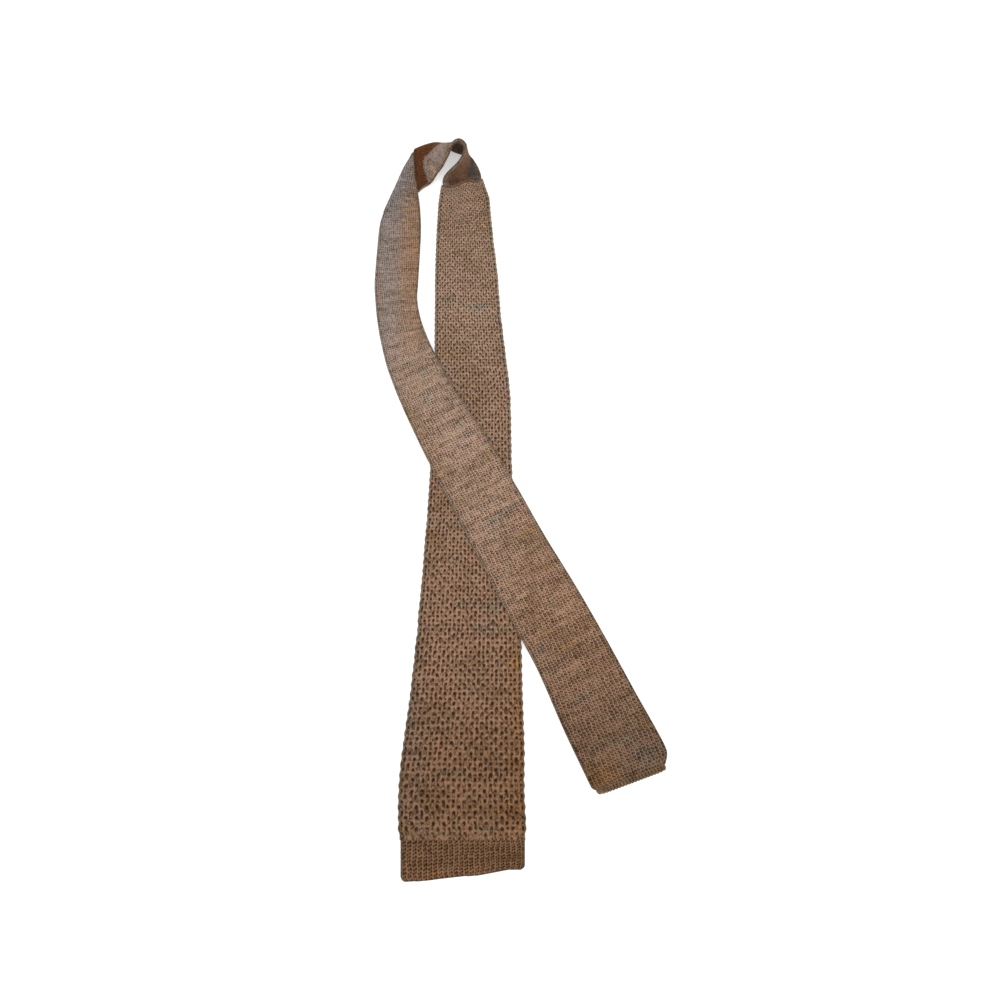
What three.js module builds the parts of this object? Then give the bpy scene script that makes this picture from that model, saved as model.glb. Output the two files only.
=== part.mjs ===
import * as THREE from "three";

// A knit tie lying on a table: a honeycomb front blade with a plain hem, and a plain band that goes
// round the neck loop and crosses the blade as the tail. Millimetres, +Z up, the table at Z = 0.

// Front blade and hem
const bladeLength = 598;
const bladeEndWidth = 108;
const bladeTopWidth = 44;
const bladeThickness = 4.8;
const hemLength = 32;
const hemThickness = 4.2;
const hemCornerRadius = 5;

// Neck and tail band
const bandWidth = 36.5;
const bandThickness = 2.8;
const tailEndWidth = 71.5;
const tailSpread = 150;
const tailReach = 512;
const ridgeHeight = 3.2;
const ridgePlace = 0.34;
const ridgeSpread = 0.2;
const creaseReach = 0.16;
const drapeStart = 3.4;
const drapeRun = 11;

// Seams and the spaces between layers
const clearance = 0.3;
const mouthWall = 1.2;
const shoulderWall = 1.8;
const shoulderLength = 15;
const mouthDepth = 11;
const mouthFade = 5 * mouthDepth;
const joinStitch = 1.1;
const endSeamDepth = 5.6;
const endSeamLinks = 21;
const endSeamWaist = 0.85;
const endSeamSquareness = 12;
const endSeamTip = 0.12;
const layerGap = 0.4;

// Fineness of the faceted surfaces
const tailStep = 9.5;
const bandColumns = 8;
const bladeColumns = 10;
const bladeSteps = 21;
const rowGathering = 1.25;
const foldFacets = 4;
const fanSteadying = 0.3;
const seamSides = 8;
const edgeFacets = 4;

// The band is flat on its core width and rounded at both edges. In the blade's mouth it is a
// little narrower, and the mouth fits round it.
const bandCore = bandWidth - bandThickness;
const insideCore = 0.9 * bandCore;
const insideRight = 0.4 * bandWidth;
const mouthCentre = insideRight - insideCore / 2;
const mouthThickness = bandThickness + 2 * (clearance + mouthWall);
const mouthLift = mouthThickness / 2 / bandThickness;
const mouthWidth = insideCore + bandThickness + 2 * (clearance + shoulderWall);

// The blade's outline: up is a share of its length, centre of its end width,
// and grow goes from the top width (0) to the end width (1).
const bladeOutline = [
  { up: 0, centre: -0.002, grow: 1 },
  { up: 0.054, centre: -0.004, grow: 1.045 },
  { up: 0.127, centre: -0.012, grow: 1.02 },
  { up: 0.191, centre: 0.007, grow: 0.957 },
  { up: 0.26, centre: 0.026, grow: 0.842 },
  { up: 0.339, centre: 0.046, grow: 0.745 },
  { up: 0.46, centre: 0.06, grow: 0.585 },
  { up: 0.586, centre: 0.065, grow: 0.425 },
  { up: 0.697, centre: 0.07, grow: 0.36 },
  { up: 0.761, centre: 0.056, grow: 0.272 },
  { up: 0.816, centre: 0.039, grow: 0.208 },
  { up: 0.872, centre: 0.028, grow: 0.159 },
  { up: 0.928, centre: 0.014, grow: 0.082 },
  { up: 0.98, centre: 0.008, grow: 0 },
  { up: 1, centre: 0, grow: -0.02 },
];

// Rise of the blade's sewn top edge and of its foot, from left (0) to right (1),
// as shares of the top width and of the end width.
const mouthEdge = [
  { across: 0, rise: -0.02 },
  { across: 0.24, rise: -0.034 },
  { across: 0.38, rise: -0.004 },
  { across: 0.52, rise: 0.05 },
  { across: 0.66, rise: 0.08 },
  { across: 0.8, rise: 0.055 },
  { across: 0.9, rise: 0.08 },
  { across: 1, rise: 0.12 },
];
const footEdge = [
  { across: 0, rise: -0.055 },
  { across: 0.18, rise: -0.042 },
  { across: 0.3, rise: -0.025 },
  { across: 0.48, rise: -0.004 },
  { across: 0.62, rise: 0.001 },
  { across: 0.76, rise: 0.035 },
  { across: 0.85, rise: 0.046 },
  { across: 1, rise: 0.048 },
];

// The tail from its end up to the left branch of the loop. Beside is a share of the tail's spread,
// down of its reach below the join, grow goes from the band's width (0) to the end width (1),
// turn is the slope of the section in degrees and ridge a share of the ridge's height.
const tailSections = [
  { beside: 0.977, down: 1, grow: 1.01, turn: 20.5, ridge: 0 },
  { beside: 0.938, down: 0.972, grow: 1.06, turn: 25, ridge: 0 },
  { beside: 0.79, down: 0.888, grow: 0.97, turn: 28, ridge: 0 },
  { beside: 0.629, down: 0.792, grow: 0.83, turn: 28, ridge: 0 },
  { beside: 0.47, down: 0.707, grow: 0.771, turn: 28.5, ridge: 0 },
  { beside: 0.299, down: 0.619, grow: 0.67, turn: 28, ridge: 0 },
  { beside: 0.13, down: 0.528, grow: 0.597, turn: 27, ridge: 0 },
  { beside: -0.035, down: 0.443, grow: 0.51, turn: 27.4, ridge: 0 },
  { beside: -0.19, down: 0.364, grow: 0.326, turn: 25.9, ridge: 0.05 },
  { beside: -0.296, down: 0.298, grow: 0.2, turn: 22, ridge: 0.2 },
  { beside: -0.342, down: 0.259, grow: 0.1, turn: 15, ridge: 0.35 },
  { beside: -0.371, down: 0.225, grow: 0.03, turn: 7, ridge: 0.6 },
  { beside: -0.386, down: 0.191, grow: 0, turn: 2, ridge: 0.85 },
  { beside: -0.385, down: 0.159, grow: 0.04, turn: 0, ridge: 1 },
];

// The loop in two runs, above and below the fold at its upper left. Right and above place the
// section's foot, which is the band's outer edge, in band widths from the middle of the join.
// Lift is in band thicknesses, 0.5 where none is given, and span in core widths, 1 where none is
// given. A first share of the section, if any, goes towards firstTurn at the slope firstLean, and
// the rest towards turn at the slope lean, in degrees.
const loopAboveFold = [
  { right: -1.04, above: -1.16, span: 1.03, turn: 186, lean: 0, ridge: 1 },
  { right: -1.05, above: -0.6, lift: 0.9, span: 1.01, turn: 197, lean: -2, ridge: 0.9 },
  { right: -1.09, above: -0.2, lift: 1.7, span: 1.03, turn: 212, lean: -3, ridge: 0.7 },
  { right: -1.15, above: 0.27, lift: 1.76, span: 1.22, turn: 231, lean: -1, ridge: 0.3 },
  { right: -1.18, above: 0.77, lift: 1.76, span: 1.6, turn: 245.5, lean: 0, ridge: 0 },
];
const loopBelowFold = [
  { right: -1.18, above: 0.77, span: 1.6, turn: 245.5, lean: 0 },
  { right: -1.18, above: 0.83, span: 1.36, turn: 256, lean: 0 },
  { right: -1.16, above: 0.87, span: 1.15, turn: 269, lean: 0 },
  { right: -1.13, above: 0.89, span: 0.98, turn: 281, lean: 1 },
  { right: -1.04, above: 0.93, first: 0.7, firstTurn: 282, turn: 305, lean: 30 },
  { right: -0.94, above: 0.97, first: 0.5, firstTurn: 278, firstLean: 3, turn: 314, lean: 40 },
  { right: -0.81, above: 1.01, first: 0.32, firstTurn: 276, firstLean: 5, turn: 312, lean: 47 },
  { right: -0.67, above: 1.04, first: 0.22, firstTurn: 280, firstLean: 30, turn: 299, lean: 52 },
  { right: -0.52, above: 1.03, first: 0.3, firstTurn: 285, firstLean: 75, turn: 293, lean: 52 },
  { right: -0.4, above: 0.98, first: 0.36, firstTurn: 250, firstLean: 87, turn: 296, lean: 62 },
  { right: -0.31, above: 0.925, first: 0.4, firstTurn: 120, firstLean: 86, turn: 311, lean: 73 },
  { right: -0.2, above: 0.87, first: 0.5, firstTurn: 100, firstLean: 88, turn: 369, lean: 82 },
  { right: -0.09, above: 0.83, first: 0.5, firstTurn: 60, firstLean: 86, turn: 417, lean: 83 },
  { right: 0.03, above: 0.79, first: 0.4, firstTurn: 90, firstLean: 86, turn: 419, lean: 87 },
  { right: 0.14, above: 0.72, first: 0.2, firstTurn: 500, firstLean: 75, turn: 510, lean: 88 },
  { right: 0.25, above: 0.61, first: 0.1, firstTurn: 530, firstLean: 20, turn: 550, lean: 82 },
  { right: 0.34, above: 0.45, first: 0.18, firstTurn: 534, turn: 549, lean: 70 },
  { right: 0.39, above: 0.3, lift: 0.55, span: 0.99, first: 0.28, firstTurn: 539, turn: 541, lean: 54 },
  { right: 0.4, above: 0.2, lift: 0.8, span: 0.95, first: 0.4, firstTurn: 540, turn: 541, lean: 32 },
  { right: 0.4, above: 0.11, lift: mouthLift, span: 0.92, first: 0.6, firstTurn: 540, turn: 540, lean: 9 },
];

// Values of a table's columns at any place between its rows, by cubic curves through the rows
function columnsAt(rows, along, place) {
  let low = 0;
  while (low < rows.length - 2 && rows[low + 1][along] < place) {
    low += 1;
  }
  const a = rows[low];
  const b = rows[low + 1];
  const before = rows[Math.max(low - 1, 0)];
  const after = rows[Math.min(low + 2, rows.length - 1)];
  const span = b[along] - a[along];
  const f = THREE.MathUtils.clamp((place - a[along]) / span, 0, 1);
  const values = {};
  for (const name of Object.keys(a)) {
    const slopeA = (b[name] - before[name]) / (b[along] - before[along]);
    const slopeB = (after[name] - a[name]) / (after[along] - a[along]);
    values[name] =
      a[name] * (1 + 2 * f) * (1 - f) ** 2 +
      b[name] * f * f * (3 - 2 * f) +
      slopeA * span * f * (1 - f) ** 2 +
      slopeB * span * f * f * (f - 1);
  }
  return values;
}

// The blade's left and right edges at a height on the table, rounded off to its mouth at the top
function bladeAt(y) {
  const { lerp, clamp } = THREE.MathUtils;
  const row = columnsAt(bladeOutline, "up", clamp(y / bladeLength, 0, 1));
  const shoulder = clamp(1 - (bladeLength - y) / shoulderLength, 0, 1) ** 1.5;
  const tapered = bladeTopWidth + (bladeEndWidth - bladeTopWidth) * row.grow;
  const width = lerp(tapered, mouthWidth, shoulder);
  const centre = lerp(bladeEndWidth * row.centre, mouthCentre, shoulder);
  return { left: centre - width / 2, right: centre + width / 2 };
}

// Rise of the sewn edge at a place across the mouth
function mouthRiseAt(x) {
  const across = THREE.MathUtils.clamp(0.5 + (x - mouthCentre) / mouthWidth, 0, 1);
  return bladeTopWidth * columnsAt(mouthEdge, "across", across).rise;
}

// One closed body from matching rings of points. A body with inner rings is hollow: the hollow is
// closed at the ends that aren't open.
function ringBody(outer, inner = [], openStart = false, openEnd = false) {
  const positions = [];
  const triangles = [];
  const put = (flip, a, b, c) => triangles.push(...(flip ? [a, c, b] : [a, b, c]));

  function addRings(rings) {
    return rings.map((ring) =>
      ring.map((point) => {
        positions.push(point.x, point.y, point.z);
        return positions.length / 3 - 1;
      }),
    );
  }

  function skin(rings, flip) {
    for (let i = 0; i + 1 < rings.length; i += 1) {
      const count = rings[i].length;
      for (let j = 0; j < count; j += 1) {
        const k = (j + 1) % count;
        const [a, b, c, d] = [rings[i][j], rings[i][k], rings[i + 1][k], rings[i + 1][j]];
        put(flip, a, b, c);
        put(flip, a, c, d);
      }
    }
  }

  // The rim of an open end joins the two rings with the shortest diagonals
  function faceRim(ids, points, holeIds, holePoints, flip) {
    const [count, holeCount] = [points.length, holePoints.length];
    let [i, j] = [0, 0];
    while (i < count || j < holeCount) {
      const [nextI, nextJ] = [(i + 1) % count, (j + 1) % holeCount];
      const [atI, atJ] = [i % count, j % holeCount];
      const onward = points[nextI].distanceTo(holePoints[atJ]);
      const inward = points[atI].distanceTo(holePoints[nextJ]);
      if (j >= holeCount || (i < count && onward <= inward)) {
        put(flip, ids[atI], ids[nextI], holeIds[atJ]);
        i += 1;
      } else {
        put(flip, ids[atI], holeIds[nextJ], holeIds[atJ]);
        j += 1;
      }
    }
  }

  // A closed end is faced from its outermost point inwards, again with the shortest diagonals
  function faceEnd(ids, points, flip) {
    const count = points.length;
    const centre = points.reduce((sum, point) => sum.add(point), new THREE.Vector3()).divideScalar(count);
    const reach = points.map((point) => point.distanceTo(centre));
    const start = reach.indexOf(Math.max(...reach));
    let ahead = start + 1;
    let behind = start + count - 1;
    put(flip, ids[start], ids[ahead % count], ids[behind % count]);
    while (ahead + 1 < behind) {
      const [a, b] = [ahead % count, behind % count];
      const [nextA, nextB] = [(ahead + 1) % count, (behind - 1) % count];
      if (points[nextA].distanceTo(points[b]) <= points[a].distanceTo(points[nextB])) {
        put(flip, ids[a], ids[nextA], ids[b]);
        ahead += 1;
      } else {
        put(flip, ids[a], ids[nextB], ids[b]);
        behind -= 1;
      }
    }
  }

  const outerIds = addRings(outer);
  const innerIds = addRings(inner);
  const ends = [
    { at: 0, open: openStart, flip: false },
    { at: 1, open: openEnd, flip: true },
  ];
  skin(outerIds, false);
  skin(innerIds, true);
  for (const { at, open, flip } of ends) {
    const o = at * (outer.length - 1);
    const i = at * (inner.length - 1);
    if (open) {
      faceRim(outerIds[o], outer[o], innerIds[i], inner[i], !flip);
    } else {
      faceEnd(outerIds[o], outer[o], !flip);
    }
    if (inner.length && !open) {
      faceEnd(innerIds[i], inner[i], flip);
    }
  }
  return facetedBody(positions, triangles);
}

// A geometry with its faces turned outwards, whichever way round its rings ran
function facetedBody(positions, triangles) {
  const corner = (id) => new THREE.Vector3().fromArray(positions, 3 * id);
  let volume = 0;
  for (let i = 0; i < triangles.length; i += 3) {
    const [a, b, c] = triangles.slice(i, i + 3).map(corner);
    volume += a.dot(b.cross(c));
  }
  const geometry = new THREE.BufferGeometry();
  geometry.setAttribute("position", new THREE.Float32BufferAttribute(positions, 3));
  geometry.setIndex(volume < 0 ? triangles.reverse() : triangles);
  geometry.computeVertexNormals();
  return geometry;
}

// The ring round a flattened tube: over its top from the first edge to the last, round the last
// edge, back along the underside and round the first edge. Middle points carry their normals.
function flatRing(middle, normals, halfThickness) {
  const count = middle.length;
  const ring = [];
  const outward = (edge, inside) => {
    const arm = middle[edge].clone().sub(middle[inside]);
    return arm.addScaledVector(normals[edge], -arm.dot(normals[edge])).normalize();
  };
  const round = (edge, direction, start) => {
    for (let k = 1; k < edgeFacets; k += 1) {
      const angle = (Math.PI * k) / edgeFacets;
      const side = direction.clone().multiplyScalar(Math.sin(angle) * halfThickness);
      const rise = normals[edge].clone().multiplyScalar(start * Math.cos(angle) * halfThickness);
      ring.push(middle[edge].clone().add(side).add(rise));
    }
  };
  for (let j = 0; j < count; j += 1) {
    ring.push(middle[j].clone().addScaledVector(normals[j], halfThickness));
  }
  round(count - 1, outward(count - 1, count - 2), 1);
  for (let j = count - 1; j >= 0; j -= 1) {
    ring.push(middle[j].clone().addScaledVector(normals[j], -halfThickness));
  }
  round(0, outward(0, 1), -1);
  return ring.map((point) => point.setZ(Math.max(point.z, 0)));
}

// The slit between a flattened tube's two layers, with a point at every so many columns
function slitRing(middle, normals, halfGap, every = 2) {
  const columns = middle.map((point, j) => j).filter((j) => j % every === 0);
  const over = columns.map((j) => middle[j].clone().addScaledVector(normals[j], halfGap));
  const under = columns.map((j) => middle[j].clone().addScaledVector(normals[j], -halfGap));
  return [...over, ...under.reverse()];
}

const upward = new THREE.Vector3(0, 0, 1);

// Thickness of the blade, which swells at its mouth to take the band
function bladeDepthAt(y) {
  const swell = THREE.MathUtils.smoothstep(y, bladeLength - mouthFade, bladeLength - mouthDepth);
  return THREE.MathUtils.lerp(bladeThickness, mouthThickness, swell);
}

// Middle points across a flat piece, each at the height that heightAt gives for its share across
function flatSection(left, right, depth, heightAt) {
  const middle = [];
  for (let j = 0; j <= bladeColumns; j += 1) {
    const x = THREE.MathUtils.lerp(left + depth / 2, right - depth / 2, j / bladeColumns);
    middle.push(new THREE.Vector3(x, heightAt((x - left) / (right - left)), depth / 2));
  }
  return middle;
}

// The honeycomb tube: two layers with a slit between them, which widens into the sewn mouth
function makeFrontBlade() {
  const { lerp, smoothstep } = THREE.MathUtils;
  const outer = [];
  const inner = [];
  const start = hemLength + clearance / 2;
  const pocketFoot = bladeLength - 1.5 * mouthDepth;
  const pocketWidth = insideCore + bandThickness + 2 * clearance;
  for (let i = 0; i <= bladeSteps; i += 1) {
    const y = lerp(start, bladeLength, 1 - (1 - i / bladeSteps) ** rowGathering);
    const { left, right } = bladeAt(y);
    const depth = bladeDepthAt(y);
    const topShare = smoothstep(y, bladeLength - mouthFade, bladeLength);
    const heightAt = (across) => {
      const mouthX = mouthCentre + (across - 0.5) * mouthWidth;
      return y + topShare * mouthRiseAt(mouthX);
    };
    const middle = flatSection(left, right, depth, heightAt);
    const normals = middle.map(() => upward);
    outer.push(flatRing(middle, normals, depth / 2));
    const open = smoothstep(y, pocketFoot - 2 * mouthDepth, pocketFoot);
    const slit = middle.map((point, j) => {
      const x = lerp(point.x, mouthCentre + (j / bladeColumns - 0.5) * pocketWidth, open);
      return new THREE.Vector3(x, heightAt((x - left) / (right - left)), point.z);
    });
    inner.push(slitRing(slit, normals, lerp(layerGap / 2, bandThickness / 2 + clearance, open), 1));
  }
  return ringBody(outer, inner, true, true);
}

function makeBladeHem() {
  const outer = [];
  const inner = [];
  const top = hemLength - clearance / 2;
  const cornerSteps = 4;
  const rows = [];
  for (let k = 0; k <= cornerSteps; k += 1) {
    const angle = (Math.PI / 2) * (k / cornerSteps);
    rows.push({ y: hemCornerRadius * (1 - Math.cos(angle)), inset: hemCornerRadius * (1 - Math.sin(angle)) });
  }
  for (const share of [0.45, 0.72, 1]) {
    rows.push({ y: THREE.MathUtils.lerp(hemCornerRadius, top, share), inset: 0 });
  }
  const { left, right } = bladeAt(0);
  for (const { y, inset } of rows) {
    const heightAt = (across) =>
      y + (1 - y / top) * bladeEndWidth * columnsAt(footEdge, "across", across).rise;
    const middle = flatSection(left + inset, right - inset, hemThickness, heightAt);
    const normals = middle.map(() => upward);
    outer.push(flatRing(middle, normals, hemThickness / 2));
    if (y > hemCornerRadius / 2) {
      inner.push(slitRing(middle, normals, layerGap / 2));
    }
  }
  return ringBody(outer, inner, false, true);
}

// How far a place over the table is covered by the blade: 1 over it, easing to 0 beside it
function coverAt(x, y) {
  if (y > bladeLength || y < 0) {
    return 0;
  }
  const { left, right } = bladeAt(y);
  const beside = Math.max(left - x, x - right);
  return 1 - THREE.MathUtils.smoothstep(beside, drapeStart, drapeStart + drapeRun);
}

// A section's three points: its foot, where its first share ends, and its far edge
function loopPoints(row) {
  const { lift = 0.5, span = 1, first = 0, firstTurn = 0, firstLean = 0, ridge = 0 } = row;
  const foot = new THREE.Vector3(
    row.right * bandWidth,
    bladeLength + row.above * bandWidth,
    lift * bandThickness,
  );
  const length = span * bandCore;
  const arm = (reach, turn, lean) => {
    const plan = reach * Math.cos(THREE.MathUtils.degToRad(lean));
    const angle = THREE.MathUtils.degToRad(turn);
    const rise = reach * Math.sin(THREE.MathUtils.degToRad(lean));
    return new THREE.Vector3(plan * Math.cos(angle), plan * Math.sin(angle), rise);
  };
  const crease = foot.clone().add(arm(length * first, firstTurn, firstLean));
  const rim = crease.clone().add(arm(length * (1 - first), row.turn, row.lean));
  return { foot, crease, rim, ridge };
}

function tailPoints(row) {
  const half = (bandWidth + (tailEndWidth - bandWidth) * row.grow - bandThickness) / 2;
  const angle = THREE.MathUtils.degToRad(row.turn);
  const middle = new THREE.Vector3(
    row.beside * tailSpread,
    bladeLength - row.down * tailReach,
    bandThickness / 2,
  );
  const arm = new THREE.Vector3(half * Math.cos(angle), half * Math.sin(angle), 0);
  return { foot: middle.clone().add(arm), crease: middle, rim: middle.clone().sub(arm), ridge: row.ridge };
}

// Sections between the given ones, on curves through their points
function refine(sections, stepsBetween) {
  const names = ["foot", "crease", "rim"];
  const curves = names.map(
    (name) => new THREE.CatmullRomCurve3(sections.map((section) => section[name]), false, "catmullrom"),
  );
  const fine = [];
  const last = sections.length - 1;
  sections.forEach((section, i) => {
    const steps = i < last ? stepsBetween(section, sections[i + 1]) : 1;
    for (let k = 0; k < steps; k += 1) {
      const share = Math.min((i + k / steps) / last, 1);
      const [foot, crease, rim] = curves.map((curve) => curve.getPoint(share));
      const next = sections[Math.min(i + 1, last)];
      fine.push({ foot, crease, rim, ridge: THREE.MathUtils.lerp(section.ridge, next.ridge, k / steps) });
    }
  });
  return fine;
}

// Points across a section from its foot to its rim, eased round the crease
function acrossSection({ foot, crease, rim, ridge }) {
  const flatLength = foot.distanceTo(crease);
  const wallLength = crease.distanceTo(rim);
  const bend = flatLength / (flatLength + wallLength);
  const reach = Math.min(creaseReach, bend, 1 - bend);
  const onLine = (t) =>
    t < bend
      ? foot.clone().lerp(crease, bend > 0 ? t / bend : 0)
      : crease.clone().lerp(rim, (t - bend) / (1 - bend));
  const points = [];
  for (let j = 0; j <= bandColumns; j += 1) {
    const t = j / bandColumns;
    let point = onLine(t);
    if (Math.abs(t - bend) < reach) {
      const f = (t - bend + reach) / (2 * reach);
      const start = onLine(bend - reach).lerp(crease, f);
      const end = crease.clone().lerp(onLine(bend + reach), f);
      point = start.lerp(end, f);
    }
    const ridgeShare = Math.exp(-(((t - ridgePlace) / ridgeSpread) ** 2)) * Math.sqrt(Math.sin(Math.PI * t));
    point.z += ridge * ridgeHeight * ridgeShare;
    points.push(point);
  }
  return points;
}

// The sections of the whole band, from the tail's end to inside the blade's mouth
function bandMiddle() {
  const byDistance = (a, b) => {
    const from = a.foot.clone().add(a.rim);
    const to = b.foot.clone().add(b.rim);
    return Math.max(1, Math.round(from.distanceTo(to) / 2 / tailStep));
  };
  const upper = [...tailSections.map(tailPoints), ...loopAboveFold.map(loopPoints)];
  const aboveFold = refine(upper, byDistance).map((section) => {
    const points = acrossSection(section);
    points.forEach((point) => {
      point.z += (bladeThickness + clearance) * coverAt(point.x, point.y);
    });
    return points;
  });
  const insideAt = (above) => ({
    foot: new THREE.Vector3(insideRight, bladeLength + above, mouthThickness / 2),
    crease: new THREE.Vector3(mouthCentre, bladeLength + above, mouthThickness / 2),
    rim: new THREE.Vector3(insideRight - insideCore, bladeLength + above, mouthThickness / 2),
    ridge: 0,
  });
  const inside = [joinStitch, -mouthDepth / 2, -mouthDepth].map(insideAt);
  const lower = [...loopBelowFold.map(loopPoints), ...inside];
  const belowFold = refine(lower, () => 2).map(acrossSection);
  const top = aboveFold[aboveFold.length - 1];
  const bottom = belowFold[0];
  const line = top[bandColumns].clone().sub(top[0]).setZ(0).normalize();
  const outward = new THREE.Vector3(line.y, -line.x, 0);
  const fold = [];
  for (let k = 1; k < foldFacets; k += 1) {
    const angle = (Math.PI * k) / foldFacets;
    fold.push(
      top.map((point, j) => {
        const radius = (point.z - bottom[j].z) / 2;
        const middle = point.clone().lerp(bottom[j], (1 - Math.cos(angle)) / 2);
        return middle.addScaledVector(outward, radius * Math.sin(angle));
      }),
    );
  }
  return [...aboveFold, ...fold, ...belowFold];
}

// Normals of a grid of sections. Where sections fan out from one edge, the run of their middle
// steadies the direction there.
function normalsOf(grid) {
  return grid.map((row, i) =>
    row.map((point, j) => {
      const ahead = grid[Math.min(i + 1, grid.length - 1)];
      const behind = grid[Math.max(i - 1, 0)];
      const middle = row.length >> 1;
      const along = ahead[j].clone().sub(behind[j]);
      along.addScaledVector(ahead[middle].clone().sub(behind[middle]), fanSteadying);
      const across = row[Math.min(j + 1, row.length - 1)].clone().sub(row[Math.max(j - 1, 0)]);
      return along.cross(across).normalize();
    }),
  );
}

function makeNeckTailBand() {
  const grid = bandMiddle();
  const normals = normalsOf(grid);
  const outer = grid.map((row, i) => flatRing(row, normals[i], bandThickness / 2));
  const inner = grid.slice(1).map((row, i) => slitRing(row, normals[i + 1], layerGap / 2));
  return ringBody(outer, inner, false, true);
}

// The chained bind-off along the tail's end: a strip that swells at each link
function makeTailEndSeam() {
  const [row, next] = bandMiddle();
  const radius = bandThickness / 2;
  const across = row[0].clone().sub(row[bandColumns]);
  const length = across.length() + radius;
  across.normalize();
  const outward = new THREE.Vector3(across.y, -across.x, 0);
  if (row[0].clone().sub(next[0]).dot(outward) < 0) {
    outward.negate();
  }
  const middle = row[0].clone().lerp(row[bandColumns], 0.5);
  middle.addScaledVector(outward, clearance + endSeamDepth / 2);
  const steps = endSeamLinks * 2;
  const rings = [];
  for (let i = 0; i <= steps; i += 1) {
    const share = i / steps - 0.5;
    const taper = Math.sqrt(Math.max(1 - Math.abs(2 * share) ** endSeamSquareness, endSeamTip));
    const swell = taper * (i % 2 === 1 ? 1 : endSeamWaist);
    const centre = middle.clone().addScaledVector(across, share * length);
    const ring = [];
    for (let k = 0; k < seamSides; k += 1) {
      const angle = (2 * Math.PI * k) / seamSides;
      const point = centre.clone().addScaledVector(outward, (swell * Math.cos(angle) * endSeamDepth) / 2);
      point.z = radius * (1 + swell * Math.sin(angle));
      ring.push(point);
    }
    rings.push(ring);
  }
  return ringBody(rings);
}

// The line of stitches round the band where it leaves the blade's mouth
function makeJoinSeam() {
  const wrap = bandThickness / 2 + clearance + joinStitch / 2;
  const path = [];
  const runSteps = 14;
  const turnSteps = 6;
  const put = (x, z) => {
    const y = bladeLength + mouthRiseAt(x) + clearance + joinStitch / 2;
    path.push(new THREE.Vector3(x, y, mouthThickness / 2 + z));
  };
  for (const side of [1, -1]) {
    for (let i = 0; i <= runSteps; i += 1) {
      put(mouthCentre + side * insideCore * (i / runSteps - 0.5), side * wrap);
    }
    for (let k = 1; k < turnSteps; k += 1) {
      const angle = Math.PI / 2 - (Math.PI * k) / turnSteps;
      put(mouthCentre + side * (insideCore / 2 + wrap * Math.cos(angle)), side * wrap * Math.sin(angle));
    }
  }
  return ringTube(path, joinStitch / 2, 6);
}

// A closed loop of round cord along a path of points
function ringTube(path, radius, sides) {
  const positions = [];
  const triangles = [];
  const count = path.length;
  path.forEach((point, i) => {
    const along = path[(i + 1) % count].clone().sub(path[(i + count - 1) % count]).normalize();
    const side = new THREE.Vector3(0, 1, 0).addScaledVector(along, -along.y).normalize();
    const rise = along.clone().cross(side);
    for (let k = 0; k < sides; k += 1) {
      const angle = (2 * Math.PI * k) / sides;
      const vertex = point.clone();
      vertex.addScaledVector(side, radius * Math.cos(angle)).addScaledVector(rise, radius * Math.sin(angle));
      positions.push(vertex.x, vertex.y, Math.max(vertex.z, 0));
      const [a, b] = [i * sides + k, i * sides + ((k + 1) % sides)];
      const [c, d] = [((i + 1) % count) * sides + ((k + 1) % sides), ((i + 1) % count) * sides + k];
      triangles.push(a, b, c, a, c, d);
    }
  });
  return facetedBody(positions, triangles);
}

const wool = { roughness: 0.95, metalness: 0 };
const honeycombYarn = new THREE.MeshStandardMaterial({ color: 0x8a6e56, ...wool });
const plainYarn = new THREE.MeshStandardMaterial({ color: 0x8c7763, ...wool });

const tie = new THREE.Group();

function addPiece(name, geometry, material) {
  const mesh = new THREE.Mesh(geometry, material);
  mesh.name = name;
  tie.add(mesh);
}

addPiece("front_blade", makeFrontBlade(), honeycombYarn);
addPiece("blade_hem", makeBladeHem(), honeycombYarn);
addPiece("neck_tail_band", makeNeckTailBand(), plainYarn);
addPiece("join_seam", makeJoinSeam(), plainYarn);
addPiece("tail_end_seam", makeTailEndSeam(), plainYarn);

// The origin is on the table, under the middle of the whole tie
const extent = new THREE.Box3().setFromObject(tie);
tie.position.set(-(extent.min.x + extent.max.x) / 2, -(extent.min.y + extent.max.y) / 2, 0);

export default tie;
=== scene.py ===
import bpy
import math
import numpy as np
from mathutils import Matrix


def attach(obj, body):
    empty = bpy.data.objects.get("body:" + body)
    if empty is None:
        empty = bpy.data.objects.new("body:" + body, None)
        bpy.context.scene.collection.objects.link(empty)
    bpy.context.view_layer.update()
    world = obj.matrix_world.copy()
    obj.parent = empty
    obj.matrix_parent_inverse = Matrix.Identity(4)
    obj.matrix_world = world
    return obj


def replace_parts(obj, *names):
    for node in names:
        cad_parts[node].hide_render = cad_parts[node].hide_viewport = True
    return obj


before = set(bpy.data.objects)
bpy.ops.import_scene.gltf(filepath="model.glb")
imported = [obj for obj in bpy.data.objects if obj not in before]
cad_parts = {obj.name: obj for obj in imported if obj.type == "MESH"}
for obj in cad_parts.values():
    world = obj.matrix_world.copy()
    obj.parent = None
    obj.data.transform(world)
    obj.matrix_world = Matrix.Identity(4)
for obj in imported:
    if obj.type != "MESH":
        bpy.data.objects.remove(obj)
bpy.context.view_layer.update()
bpy.ops.object.select_all(action="DESELECT")
print("tie: frame loaded")

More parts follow.
